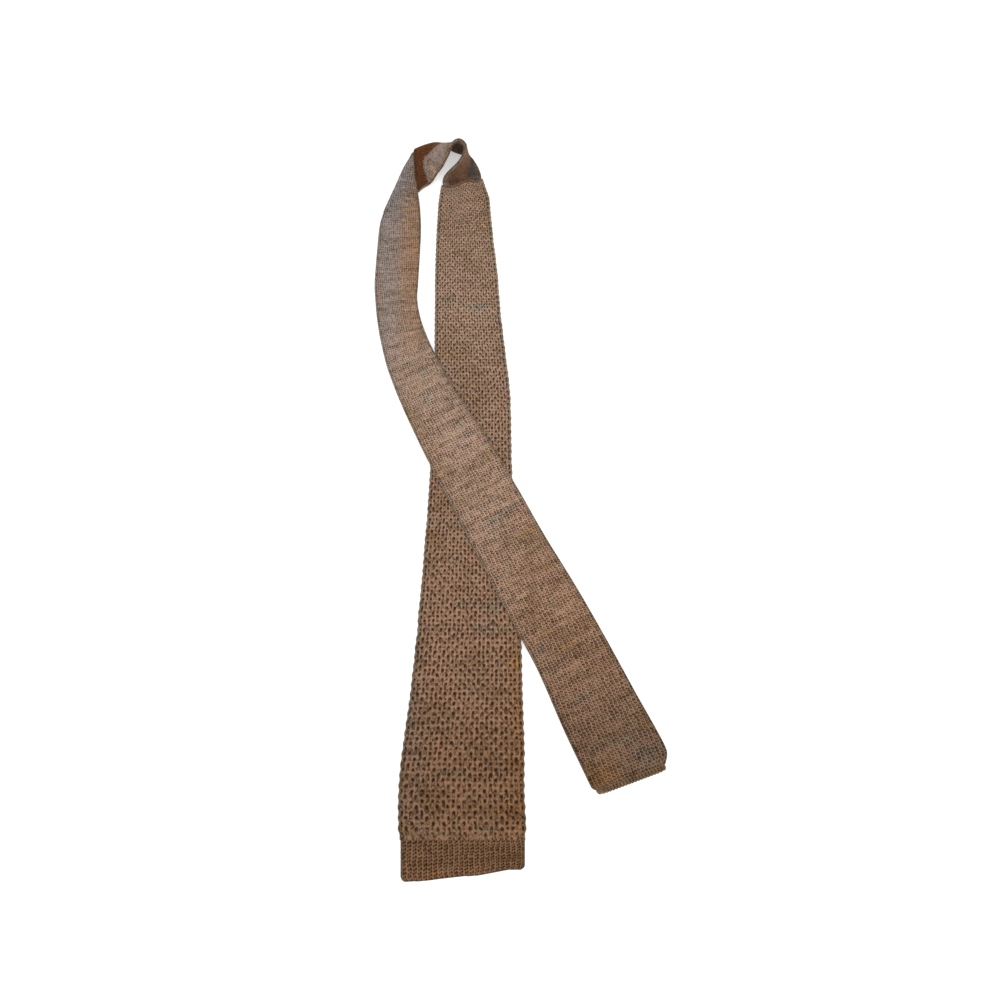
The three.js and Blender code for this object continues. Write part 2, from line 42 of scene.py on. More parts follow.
# Sizes in millimetres. The model's own axes start at the middle of the blade's foot;
# origin is where the frame's origin lies on them.
tie = {
    "origin": (52.1037, 315.678), "bladeLength": 598, "bladeEndWidth": 108, "bladeTopWidth": 44,
    "bladeThickness": 4.8, "bandWidth": 36.5, "bandThickness": 2.8, "tailEndWidth": 71.5,
    "tailSpread": 150, "tailReach": 512, "ridgeHeight": 3.2, "ridgePlace": 0.34,
    "ridgeSpread": 0.2, "creaseReach": 0.16, "drapeStart": 3.4, "drapeRun": 11, "clearance": 0.3,
    "mouthWall": 1.2, "shoulderWall": 1.8, "shoulderLength": 15, "mouthDepth": 11,
    "joinStitch": 1.1, "tableGap": 0.02,
}
bandCore = tie["bandWidth"] - tie["bandThickness"]
insideCore = 0.9 * bandCore
insideRight = 0.4 * tie["bandWidth"]
mouthCentre = insideRight - insideCore / 2
mouthThickness = tie["bandThickness"] + 2 * (tie["clearance"] + tie["mouthWall"])
mouthLift = mouthThickness / 2 / tie["bandThickness"]
mouthWidth = insideCore + tie["bandThickness"] + 2 * (tie["clearance"] + tie["shoulderWall"])


def tableOf(names, rows):
    names = names.split()
    return {name: np.array([row[i] for row in rows], float) for i, name in enumerate(names)}


bladeOutline = tableOf("up centre grow", [
    (0, -0.002, 1), (0.054, -0.004, 1.045), (0.127, -0.012, 1.02), (0.191, 0.007, 0.957),
    (0.26, 0.026, 0.842), (0.339, 0.046, 0.745), (0.46, 0.06, 0.585), (0.586, 0.065, 0.425),
    (0.697, 0.07, 0.36), (0.761, 0.056, 0.272), (0.816, 0.039, 0.208), (0.872, 0.028, 0.159),
    (0.928, 0.014, 0.082), (0.98, 0.008, 0), (1, 0, -0.02),
])
mouthEdge = tableOf("across rise", [
    (0, -0.02), (0.24, -0.034), (0.38, -0.004), (0.52, 0.05), (0.66, 0.08), (0.8, 0.055),
    (0.9, 0.08), (1, 0.12),
])
footEdge = tableOf("across rise", [
    (0, -0.055), (0.18, -0.042), (0.3, -0.025), (0.48, -0.004), (0.62, 0.001), (0.76, 0.035),
    (0.85, 0.046), (1, 0.048),
])
# The tail, from its end up to the left branch of the loop
tailSections = tableOf("beside down grow turn ridge", [
    (0.977, 1, 1.01, 20.5, 0), (0.938, 0.972, 1.06, 25, 0), (0.79, 0.888, 0.97, 28, 0),
    (0.629, 0.792, 0.83, 28, 0), (0.47, 0.707, 0.771, 28.5, 0), (0.299, 0.619, 0.67, 28, 0),
    (0.13, 0.528, 0.597, 27, 0), (-0.035, 0.443, 0.51, 27.4, 0), (-0.19, 0.364, 0.326, 25.9, 0.05),
    (-0.296, 0.298, 0.2, 22, 0.2), (-0.342, 0.259, 0.1, 15, 0.35), (-0.371, 0.225, 0.03, 7, 0.6),
    (-0.386, 0.191, 0, 2, 0.85), (-0.385, 0.159, 0.04, 0, 1),
])
# The loop above and below its fold
loopAboveFold = tableOf("right above lift span turn lean ridge", [
    (-1.04, -1.16, 0.5, 1.03, 186, 0, 1), (-1.05, -0.6, 0.9, 1.01, 197, -2, 0.9),
    (-1.09, -0.2, 1.7, 1.03, 212, -3, 0.7), (-1.15, 0.27, 1.76, 1.22, 231, -1, 0.3),
    (-1.18, 0.77, 1.76, 1.6, 245.5, 0, 0),
])
loopBelowFold = tableOf("right above lift span first firstTurn firstLean turn lean", [
    (-1.18, 0.77, 0.5, 1.6, 0, 0, 0, 245.5, 0),
    (-1.18, 0.83, 0.5, 1.36, 0, 0, 0, 256, 0),
    (-1.16, 0.87, 0.5, 1.15, 0, 0, 0, 269, 0),
    (-1.13, 0.89, 0.5, 0.98, 0, 0, 0, 281, 1),
    (-1.04, 0.93, 0.5, 1, 0.7, 282, 0, 305, 30),
    (-0.94, 0.97, 0.5, 1, 0.5, 278, 3, 314, 40),
    (-0.81, 1.01, 0.5, 1, 0.32, 276, 5, 312, 47),
    (-0.67, 1.04, 0.5, 1, 0.22, 280, 30, 299, 52),
    (-0.52, 1.03, 0.5, 1, 0.3, 285, 75, 293, 52),
    (-0.4, 0.98, 0.5, 1, 0.36, 250, 87, 296, 62),
    (-0.31, 0.925, 0.5, 1, 0.4, 120, 86, 311, 73),
    (-0.2, 0.87, 0.5, 1, 0.5, 100, 88, 369, 82),
    (-0.09, 0.83, 0.5, 1, 0.5, 60, 86, 417, 83),
    (0.03, 0.79, 0.5, 1, 0.4, 90, 86, 419, 87),
    (0.14, 0.72, 0.5, 1, 0.2, 500, 75, 510, 88),
    (0.25, 0.61, 0.5, 1, 0.1, 530, 20, 550, 82),
    (0.34, 0.45, 0.5, 1, 0.18, 534, 0, 549, 70),
    (0.39, 0.3, 0.55, 0.99, 0.28, 539, 0, 541, 54),
    (0.4, 0.2, 0.8, 0.95, 0.4, 540, 0, 541, 32),
    (0.4, 0.11, mouthLift, 0.92, 0.6, 540, 0, 540, 9),
])


def framePlace(spot):
    # from the model's millimetres to the frame's metres
    return (np.asarray(spot, float) - (*tie["origin"], 0)) / 1000


def smoothStep(value, low, high):
    share = np.clip((value - low) / (high - low), 0, 1)
    return share * share * (3 - 2 * share)


def cubicBetween(start, end, slopeStart, slopeEnd, f):
    return (start * (1 + 2 * f) * (1 - f) ** 2 + end * f * f * (3 - 2 * f)
            + slopeStart * f * (1 - f) ** 2 + slopeEnd * f * f * (f - 1))


def columnAt(table, along, name, place):
    # cubic curve through one column of a table
    xs, ys = table[along], table[name]
    place = np.asarray(place, float)
    low = np.clip(np.searchsorted(xs, place, side="left") - 1, 0, len(xs) - 2)
    before, after = np.maximum(low - 1, 0), np.minimum(low + 2, len(xs) - 1)
    span = xs[low + 1] - xs[low]
    f = np.clip((place - xs[low]) / span, 0, 1)
    slopeA = (ys[low + 1] - ys[before]) / (xs[low + 1] - xs[before])
    slopeB = (ys[after] - ys[low]) / (xs[after] - xs[low])
    return cubicBetween(ys[low], ys[low + 1], slopeA * span, slopeB * span, f)


def bladeAt(y):
    y = np.asarray(y, float)
    up = np.clip(y / tie["bladeLength"], 0, 1)
    shoulder = np.clip(1 - (tie["bladeLength"] - y) / tie["shoulderLength"], 0, 1) ** 1.5
    grow = columnAt(bladeOutline, "up", "grow", up)
    tapered = tie["bladeTopWidth"] + (tie["bladeEndWidth"] - tie["bladeTopWidth"]) * grow
    width = tapered + (mouthWidth - tapered) * shoulder
    middle = tie["bladeEndWidth"] * columnAt(bladeOutline, "up", "centre", up)
    middle = middle + (mouthCentre - middle) * shoulder
    return middle - width / 2, middle + width / 2


def mouthRiseAt(x):
    across = np.clip(0.5 + (x - mouthCentre) / mouthWidth, 0, 1)
    return tie["bladeTopWidth"] * columnAt(mouthEdge, "across", "rise", across)


def unevenWave(x, y, seed, size):
    # a smooth, repeatable unevenness between about -1 and 1, with waves about this long
    value = np.zeros(np.broadcast(x, y).shape)
    for k in range(5):
        turn = seed * 1.7 + k * 2.399
        reach = 2 * math.pi / (size * (0.7 + 0.28 * k))
        value += np.sin((x * math.cos(turn) + y * math.sin(turn)) * reach + seed * 3.1 + k * 1.9)
    return value / 2.6


def softPatch(points, x, y, wide, high, turn):
    # 1 at the patch's middle, fading out round it
    angle = math.radians(turn)
    dx, dy = points[..., 0] - x, points[..., 1] - y
    along = dx * math.cos(angle) + dy * math.sin(angle)
    aside = dy * math.cos(angle) - dx * math.sin(angle)
    return np.exp(-(along / wide) ** 2 - (aside / high) ** 2)


def shadeAndDyeTintOf(points, patches):
    # painted light and shade, and other dye: x, y, reach across, reach up, turn and tone of each patch
    spots = np.asarray(points, float).reshape(-1, 3)
    colour = np.ones((len(spots), 3))
    for *patch, shade in patches:
        colour *= 1 + (np.array(shade) - 1) * softPatch(spots, *patch)[:, None]
    return colour


def edgeShade(tint, rings, piece, columns):
    # painted shade: the rounded edges are painted cooler and a little darker than the face
    shaded = tint.reshape(rings.shape).copy()
    last = columns + piece["edgeSteps"]
    edges = [0, 1, *range(columns - 1, last), *range(last + piece["underColumns"], rings.shape[1])]
    shaded[:, edges] *= wool["edges"]
    return shaded.reshape(-1, 3)


def swayed(u, v, piece):
    # no two stitches match: each sits a little off its place
    reach, run, seed = piece["sway"], piece["swayRun"], piece["swaySeed"]
    return u + reach * unevenWave(u, v, seed, run), v + reach * unevenWave(u, v, seed + 4, run)


def normalsOf(points):
    # from the run between neighbouring rows and, across them, between neighbouring columns
    ahead = np.vstack([points[1:], points[-1:]]) - np.vstack([points[:1], points[:-1]])
    beside = (np.concatenate([points[:, 1:], points[:, -1:]], 1)
              - np.concatenate([points[:, :1], points[:, :-1]], 1))
    middle = points.shape[1] // 2
    ahead = ahead + 0.3 * ahead[:, middle:middle + 1]
    normals = np.cross(ahead, beside)
    return normals / np.maximum(np.linalg.norm(normals, axis=2, keepdims=True), 1e-9)


def tubeRings(middle, normals, half, piece, relief=None):
    # rings round a flattened tube: over its top, round its last edge, back underneath and round
    # its first edge; half is the half thickness of each row, relief a height for each top point
    rows, count = middle.shape[:2]
    edgeSteps = piece["edgeSteps"]
    half = np.broadcast_to(np.asarray(half, float), (rows,))[:, None]
    reliefTop = np.zeros((rows, count)) if relief is None else relief

    def outward(edge, inside):
        arm = middle[:, edge] - middle[:, inside]
        arm = arm - (arm * normals[:, edge]).sum(1, keepdims=True) * normals[:, edge]
        return arm / np.maximum(np.linalg.norm(arm, axis=1, keepdims=True), 1e-9)

    def turned(edge, direction, start):
        turns = []
        for k in range(1, edgeSteps):
            angle = math.pi * k / edgeSteps
            fade = max(math.cos(angle) * start, 0) ** 0.7
            reach = half + reliefTop[:, edge:edge + 1] * fade
            turns.append(middle[:, edge] + direction * math.sin(angle) * reach
                         + normals[:, edge] * (start * math.cos(angle)) * reach)
        return np.stack(turns, 1)

    top = middle + normals * (half + reliefTop)[:, :, None]
    pick = np.linspace(count - 1, 0, piece["underColumns"]).round().astype(int)
    under = middle[:, pick] - normals[:, pick] * half[:, :, None]
    last = turned(count - 1, outward(count - 1, count - 2), 1)
    first = turned(0, outward(0, 1), -1)
    rings = np.concatenate([top, last, under, first], 1)
    rings[:, :, 2] = np.maximum(rings[:, :, 2], tie["tableGap"])
    return rings


def tubeFaces(rows, count):
    # the tube's side, and a face over each end
    i = np.arange(rows - 1)[:, None] * count
    j = np.arange(count)[None, :]
    k = (j + 1) % count
    side = np.stack([i + j, i + k, i + count + k, i + count + j], 2).reshape(-1, 4).tolist()
    return side + [list(range(count))[::-1], list(range((rows - 1) * count, rows * count))]


def walesAround(piece, share, start, turn, underStart, firstStart):
    # stitch columns run on round both edges and underneath; turn is how many go round an edge
    steps = np.arange(1, piece["edgeSteps"]) * turn / piece["edgeSteps"]
    wales = piece["wales"]
    return np.concatenate([share * wales + start, wales + start + steps,
                           wales + underStart + np.linspace(0, wales, piece["underColumns"]),
                           steps + firstStart])


def selectOnly(parts):
    bpy.ops.object.select_all(action="DESELECT")
    for part in parts:
        part.select_set(True)
    bpy.context.view_layer.objects.active = parts[0]


def finishPiece(piece):
    bpy.ops.object.shade_smooth()
    piece.select_set(False)
    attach(piece, "root")
    print("tie:", piece.name, len(piece.data.polygons), "faces")
    return piece


def makePiece(name, rings, knit, tint, material):
    # a closed tube from its rings in millimetres; knit gives each point's place in stitches
    mesh = bpy.data.meshes.new(name)
    points = framePlace(rings.reshape(-1, 3)).tolist()
    mesh.from_pydata(points, [], tubeFaces(*rings.shape[:2]))
    mesh.validate()
    layer = mesh.uv_layers.new(name="knit")
    corners = np.zeros(len(mesh.loops), np.int32)
    mesh.loops.foreach_get("vertex_index", corners)
    layer.data.foreach_set("uv", np.asarray(knit, np.float32).reshape(-1, 2)[corners].ravel())
    # the painted light and shade and the other dyes go on the mesh as a colour
    shadeAndDyeTints = mesh.color_attributes.new("tint", "FLOAT_COLOR", "POINT")
    shadeAndDyeTints.data.foreach_set("color", np.hstack([tint, np.ones((len(tint), 1))]).ravel())
    piece = bpy.data.objects.new(name, mesh)
    bpy.context.collection.objects.link(piece)
    mesh.materials.append(material)
    selectOnly([piece])
    bpy.ops.object.mode_set(mode="EDIT")
    bpy.ops.mesh.select_all(action="SELECT")
    bpy.ops.mesh.normals_make_consistent(inside=False)
    bpy.ops.object.mode_set(mode="OBJECT")
    return finishPiece(piece)


class Wire:
    # a shader value that Python's operators work on
    def __init__(self, knitShader, socket):
        self.shader = knitShader
        self.socket = socket

    def maths(self, operation, *values):
        places = {i: value for i, value in enumerate(values)}
        return self.shader.add("ShaderNodeMath", {"operation": operation}, places)

    def __add__(self, other):
        return self.maths("ADD", self, other)

    def __radd__(self, other):
        return self.maths("ADD", other, self)

    def __sub__(self, other):
        return self.maths("SUBTRACT", self, other)

    def __rsub__(self, other):
        return self.maths("SUBTRACT", other, self)

    def __mul__(self, other):
        return self.maths("MULTIPLY", self, other)

    def __rmul__(self, other):
        return self.maths("MULTIPLY", other, self)

    def __truediv__(self, other):
        return self.maths("DIVIDE", self, other)

    def __rtruediv__(self, other):
        return self.maths("DIVIDE", other, self)

    def __pow__(self, other):
        return self.maths("POWER", self, other)

    def __mod__(self, other):
        return self.maths("MODULO", self, other)

    def __abs__(self):
        return self.maths("ABSOLUTE", self)

    def rounded(self):
        return self.maths("ROUND", self)

    def cosine(self):
        return self.maths("COSINE", self)

    def atLeast(self, other):
        return self.maths("MAXIMUM", self, other)

    def eased(self, low, high, toLow=0, toHigh=1):
        values = {0: self, 1: low, 2: high, 3: toLow, 4: toHigh}
        return self.shader.add("ShaderNodeMapRange", {"interpolation_type": "SMOOTHSTEP"}, values)


class KnitShader:
    def __init__(self, name, roughness, sheen):
        self.material = bpy.data.materials.new(name)
        self.material.use_nodes = True
        self.tree = self.material.node_tree
        self.surface = self.tree.nodes["Principled BSDF"]
        self.set("Roughness", roughness)
        self.set("Specular IOR Level", 0.18)
        self.set("Sheen Weight", sheen)
        self.set("Sheen Roughness", 0.55)
        self.set("Sheen Tint", (0.8, 0.7, 0.6, 1))

    def set(self, name, value):
        self.surface.inputs[name].default_value = value

    def add(self, kind, settings, values, output=0):
        node = self.tree.nodes.new(kind)
        for key, value in settings.items():
            if key == "stops":
                stops = node.color_ramp.elements
                while len(stops) < len(value):
                    stops.new(0.5)
                for stop, (place, colour) in zip(stops, value):
                    stop.position = place
                    stop.color = (*colour, 1)
            else:
                setattr(node, key, value)
        for key, value in values.items():
            if isinstance(value, Wire):
                self.tree.links.new(value.socket, node.inputs[key])
            else:
                node.inputs[key].default_value = value
        return Wire(self, node.outputs[output])

    def noise(self, vector, scale, detail, roughness):
        values = {"Vector": vector, "Scale": scale, "Detail": detail, "Roughness": roughness}
        return self.add("ShaderNodeTexNoise", {}, values)

    def place(self, x, y, z=0.0):
        return self.add("ShaderNodeCombineXYZ", {}, {0: x, 1: y, 2: z})

    def multiplied(self, first, second):
        settings = {"data_type": "RGBA", "blend_type": "MULTIPLY"}
        return self.add("ShaderNodeMix", settings, {0: 1.0, 6: first, 7: second}, 2)

    def feed(self, name, wire):
        self.tree.links.new(wire.socket, self.surface.inputs[name])


def tone(red, green, blue):
    # a colour as seen on a screen, 0 to 255, turned into light
    share = [value / 255 for value in (red, green, blue)]
    return tuple(v / 12.92 if v <= 0.04045 else ((v + 0.055) / 1.055) ** 2.4 for v in share)


wool = {
    "body": tone(134, 107, 85),
    "rose": tone(139, 106, 86),
    "grey": tone(128, 111, 95),
    "ochre": tone(141, 108, 75),
    "umber": tone(118, 91, 70),
    # painted shade on the rounded edges, cooler and darker
    "edges": (0.76, 0.83, 0.86),
}


def stitchPlace(shader):
    # the place on the cloth in wales and courses
    place = shader.add("ShaderNodeUVMap", {"uv_map": "knit"}, {})
    return [shader.add("ShaderNodeSeparateXYZ", {}, {0: place}, i) for i in range(2)]


# Sizes in stitches, and depths as shares of the relief; the heights also paint shade and highlights
honeycombStitch = {
    "hole": (0.27, 0.3), "holeAt": 0.02, "holeDepth": 0.5, "holeChance": 0.4,
    "small": (0.24, 0.26), "smallDepth": 0.3, "archAt": 0.68, "archBend": 2.4, "archWidth": 0.26,
    "archHeight": 0.56, "legShare": 0.55, "ground": 0.48,
}
plainStitch = {
    "top": 1.02, "dotDepth": 0.5, "dotChance": 0.9, "legGap": 0.3, "courseGap": 0.42, "knot": 0.3,
    "facing": 0.34, "facingAt": 0.27,
}


def chanceOf(shader, column, link):
    # a number from 0 to 1 for each stitch
    return shader.add("ShaderNodeTexWhiteNoise", {"noise_dimensions": "2D"},
                      {"Vector": shader.place(column + 0.5, link + 0.5)})


def honeycombStitches(shader):
    # round holes, each under the arch of a loop, every second column half a loop out of step
    stitch = honeycombStitch
    u, v = stitchPlace(shader)
    column = u.rounded()
    across = abs(u - column)
    run = (v - column % 2.0) * 0.5
    link = run.rounded()
    along = (run - link) * 2.0
    chance = chanceOf(shader, column, link)
    wide, high = stitch["hole"]
    hole = (across / wide) ** 2.0 + ((along - stitch["holeAt"]) / high) ** 2.0
    hole = hole.eased(0.05, 1.8, 1, 0)
    wide, high = stitch["small"]
    small = ((across / wide) ** 2.0 + ((abs(along) - 1.0) / high) ** 2.0).eased(0.1, 1.5, 1, 0)
    arch = abs(along - stitch["archAt"] + across * across * stitch["archBend"])
    arch = arch.eased(0.02, stitch["archWidth"], 1, 0)
    leg = across.eased(0.2, 0.46)
    begun = v.eased(0.7, 1.8)  # the first row closes up where the hem starts
    # the same height darkens the holes as painted shade and lightens the arches as painted highlights
    height = (arch.atLeast(leg * stitch["legShare"]) * stitch["archHeight"] + stitch["ground"]
              - hole * (stitch["holeDepth"] + chance * stitch["holeChance"]) * begun
              - small * chance * stitch["smallDepth"])
    return u, v, height


def plainStitches(shader):
    # two slanting legs to a wale, with dents between them painted dark as shade
    stitch = plainStitch
    u, v = stitchPlace(shader)
    legs = 0.5 - (u * (4 * math.pi)).cosine() * 0.5
    fromMiddle = abs(u - u.rounded()) * 2.0
    beat = 0.5 + ((v + fromMiddle * 0.5) * (2 * math.pi)).cosine() * 0.5
    link = (v + fromMiddle * 0.5).rounded()
    chance = chanceOf(shader, u.rounded(), link)
    # the gaps between wales are deeper and painted darker than those inside a wale, and one leg is
    # painted lighter, and raised, as if it faced the light
    dots = (1 - legs) * (1 - beat) * (1 - fromMiddle * 0.6)
    facing = ((u - stitch["facingAt"]) * (2 * math.pi)).cosine()
    height = (stitch["top"] - dots * (stitch["dotDepth"] + chance * stitch["dotChance"])
              - (1 - legs) * stitch["legGap"] - (1 - beat) * stitch["courseGap"]
              + beat * stitch["knot"] * legs + facing * stitch["facing"])
    return u, v, height


def woolMaterial(name, stitches, look):
    shader = KnitShader(name, look["roughness"], look["sheen"])
    u, v, height = stitches(shader)
    spot = shader.add("ShaderNodeTexCoord", {}, {}, 3)

    def onCloth(name, seed, detail, roughness):
        # an unevenness that runs with the stitches
        place = shader.place(u * look[name + "Across"], v * look[name + "Along"], seed)
        return shader.noise(place, 1.0, detail, roughness) - 0.5

    fleck = onCloth("fleck", 2.0, 3.0, 0.7)
    course = onCloth("dye", 6.0, 3.0, 0.65)
    streak = onCloth("streak", 13.0, 2.0, 0.6)
    clump = onCloth("clump", 21.0, 2.0, 0.6)
    fibre = shader.noise(spot, look["fibreScale"], 3.0, 0.7) - 0.5
    patch = shader.noise(spot, look["patchScale"], 2.0, 0.5) - 0.5
    dyed = shader.add("ShaderNodeValToRGB", {"stops": look["dyes"]},
                      {0: 0.5 + course * look["courseDye"] + patch * look["patchDye"]})
    # height, with random flecks, streaks and dye along the courses
    # painted shade in the holes and gaps and painted highlights on the raised loops, from the stitch
    depth = (height + fleck * look["fleck"] + course * look["courseShade"]
             + streak * look["streak"] + clump * look["clump"] + fibre * look["fibre"]
             + (shader.noise(spot, look["mottleScale"], 2.0, 0.6) - 0.5) * look["mottle"])
    shade = shader.add("ShaderNodeValToRGB", {"stops": look["shades"]},
                       {0: depth.eased(look["lowest"], look["highest"])})
    # the yarn's colour is multiplied by the painted light and shade and other dye carried on the mesh
    tint = shader.add("ShaderNodeAttribute", {"attribute_name": "tint"}, {})
    shader.feed("Base Color", shader.multiplied(shader.multiplied(dyed, shade), tint))
    bump = shader.add("ShaderNodeBump", {}, {
        "Strength": look["bump"], "Distance": look["bumpDepth"],
        "Height": height.atLeast(0.0) + fibre * 0.3 + fleck * 0.3})
    shader.feed("Normal", bump)
    return shader.material


dyes = [(0.12, wool["grey"]), (0.34, wool["body"]), (0.45, wool["rose"]), (0.54, wool["body"]),
        (0.66, wool["umber"]), (0.86, wool["ochre"])]
woolLook = {
    "roughness": 0.95, "sheen": 0.08, "fibre": 0.6, "fibreScale": 1500, "mottle": 0.8,
    "mottleScale": 430, "streakAcross": 0.05, "streakAlong": 0.35, "clumpAcross": 0.3,
    "clumpAlong": 0.36, "dyeAlong": 0.3, "patchDye": 1.0, "dyes": dyes,
}
honeycombLook = dict(
    woolLook, bump=0.7, bumpDepth=0.0007, fleck=3.4, fleckAcross=2.1, fleckAlong=1.0,
    streak=0.3, clump=0.4, dyeAcross=0.1, courseDye=1.3, courseShade=0.45, patchScale=26,
    lowest=-0.35, highest=1.25,
    # painted shade in the holes up to painted highlights on the loops
    shades=[(0.0, (0.17, 0.12, 0.08)), (0.3, (0.42, 0.36, 0.3)), (0.62, (1.0, 0.98, 0.95)),
            (1.0, (1.75, 1.75, 1.75))])
plainLook = dict(
    woolLook, bump=0.6, bumpDepth=0.0005, fleck=2.4, fleckAcross=0.9, fleckAlong=0.6,
    streak=1.3, clump=0.6, dyeAcross=0.06, courseDye=1.4, courseShade=0.7, patchScale=22,
    lowest=-0.45, highest=1.35,
    # painted shade in the gaps up to painted highlights on the legs
    shades=[(0.0, (0.2, 0.15, 0.11)), (0.3, (0.5, 0.45, 0.4)), (0.62, (1.0, 0.98, 0.96)),
            (1.0, (1.7, 1.7, 1.7))])
hemLook = dict(plainLook, fleck=2.3, streak=0.4, clump=0.8, mottle=1.3, fleckAcross=1.1,
               fleckAlong=1.1, dyeAlong=0.5, patchScale=45, bumpDepth=0.0007)
honeycombKnit = woolMaterial("honeycomb knit", honeycombStitches, honeycombLook)
plainKnit = woolMaterial("plain knit", plainStitches, plainLook)
hemKnit = woolMaterial("hem knit", plainStitches, hemLook)


def yarnMaterial(name, dark, pale):
    shader = KnitShader(name, 0.95, 0.08)
    spot = shader.add("ShaderNodeTexCoord", {}, {}, 3)
    strand = shader.noise(spot, 900, 3.0, 0.7)
    patch = shader.noise(spot, 160, 2.0, 0.5)
    colour = shader.add("ShaderNodeValToRGB", {"stops": [(0.32, dark), (0.66, pale)]},
                        {0: strand * 0.6 + patch * 0.4})
    shader.feed("Base Color", colour)
    shader.feed("Normal", shader.add("ShaderNodeBump", {}, {
        "Strength": 0.6, "Distance": 0.0003, "Height": strand}))
    return shader.material


joinYarn = yarnMaterial("seam yarn", tone(78, 57, 42), tone(150, 124, 102))
endYarn = yarnMaterial("end seam yarn", tone(72, 55, 40), tone(150, 121, 93))
print("tie: wool materials made")


# Front blade
blade = {
    "wales": 23, "stepsPerWale": 4, "stepsPerRow": 4, "rowPitch": 1.02, "reliefShare": 0.23,
    "hole": (0.33, 0.37), "holeAt": 0.03, "holeDepth": 0.55, "holeChance": 0.45, "archAt": 0.62,
    "archBend": 2.2, "archWidth": 0.4, "archHeight": 0.3, "legHeight": 0.26,
    "sway": 0.08, "swayRun": 3.4, "swaySeed": 2, "footTuck": 1.2, "footTuckRun": 9,
    "footLap": 0.4, "edgeSwell": 0.09, "edgeWobble": 0.05, "lump": 0.12, "lumpRun": 60,
    "edgeSteps": 8, "underColumns": 14, "foot": 32,
    # how far out each ring of a rolled rim lies, and how much of the thickness it keeps
    "rim": [(0.5, 0.75), (0.35, 0), (-9, 0)],
    "footWall": 0.9, "mouthRoom": 0.15,
    # painted light: the left edge painted cool grey and the right edge painted warm, as if lit from
    # the sides; also darker towards the foot and lighter and greyer towards the top
    "shadeAndDyeTints": [
        (0, 60, 200, 110, 0, (0.74, 0.68, 0.58)),
        (10, 520, 200, 150, 0, (1.18, 1.3, 1.45)),
        (-50, 200, 14, 260, 3, (0.92, 1.0, 1.12)),
        (52, 120, 12, 120, 0, (1.08, 0.96, 0.78)),
    ],
}


def honeycombHeight(u, v):
    column = np.round(u)
    across = np.abs(u - column)
    run = (v - np.mod(column, 2)) * 0.5
    link = np.round(run)
    along = (run - link) * 2
    chance = np.mod(np.abs(np.sin(column * 12.9898 + link * 78.233) * 43758.5453), 1)
    wide, high = blade["hole"]
    hole = (across / wide) ** 2 + ((along - blade["holeAt"]) / high) ** 2
    hole = 1 - smoothStep(hole, 0.1, 1.5)
    arch = np.abs(along - blade["archAt"] + across * across * blade["archBend"])
    arch = 1 - smoothStep(arch, 0.02, blade["archWidth"])
    leg = smoothStep(across, 0.2, 0.48)
    return (arch * blade["archHeight"] + leg * blade["legHeight"]
            - hole * (blade["holeDepth"] + blade["holeChance"] * chance))


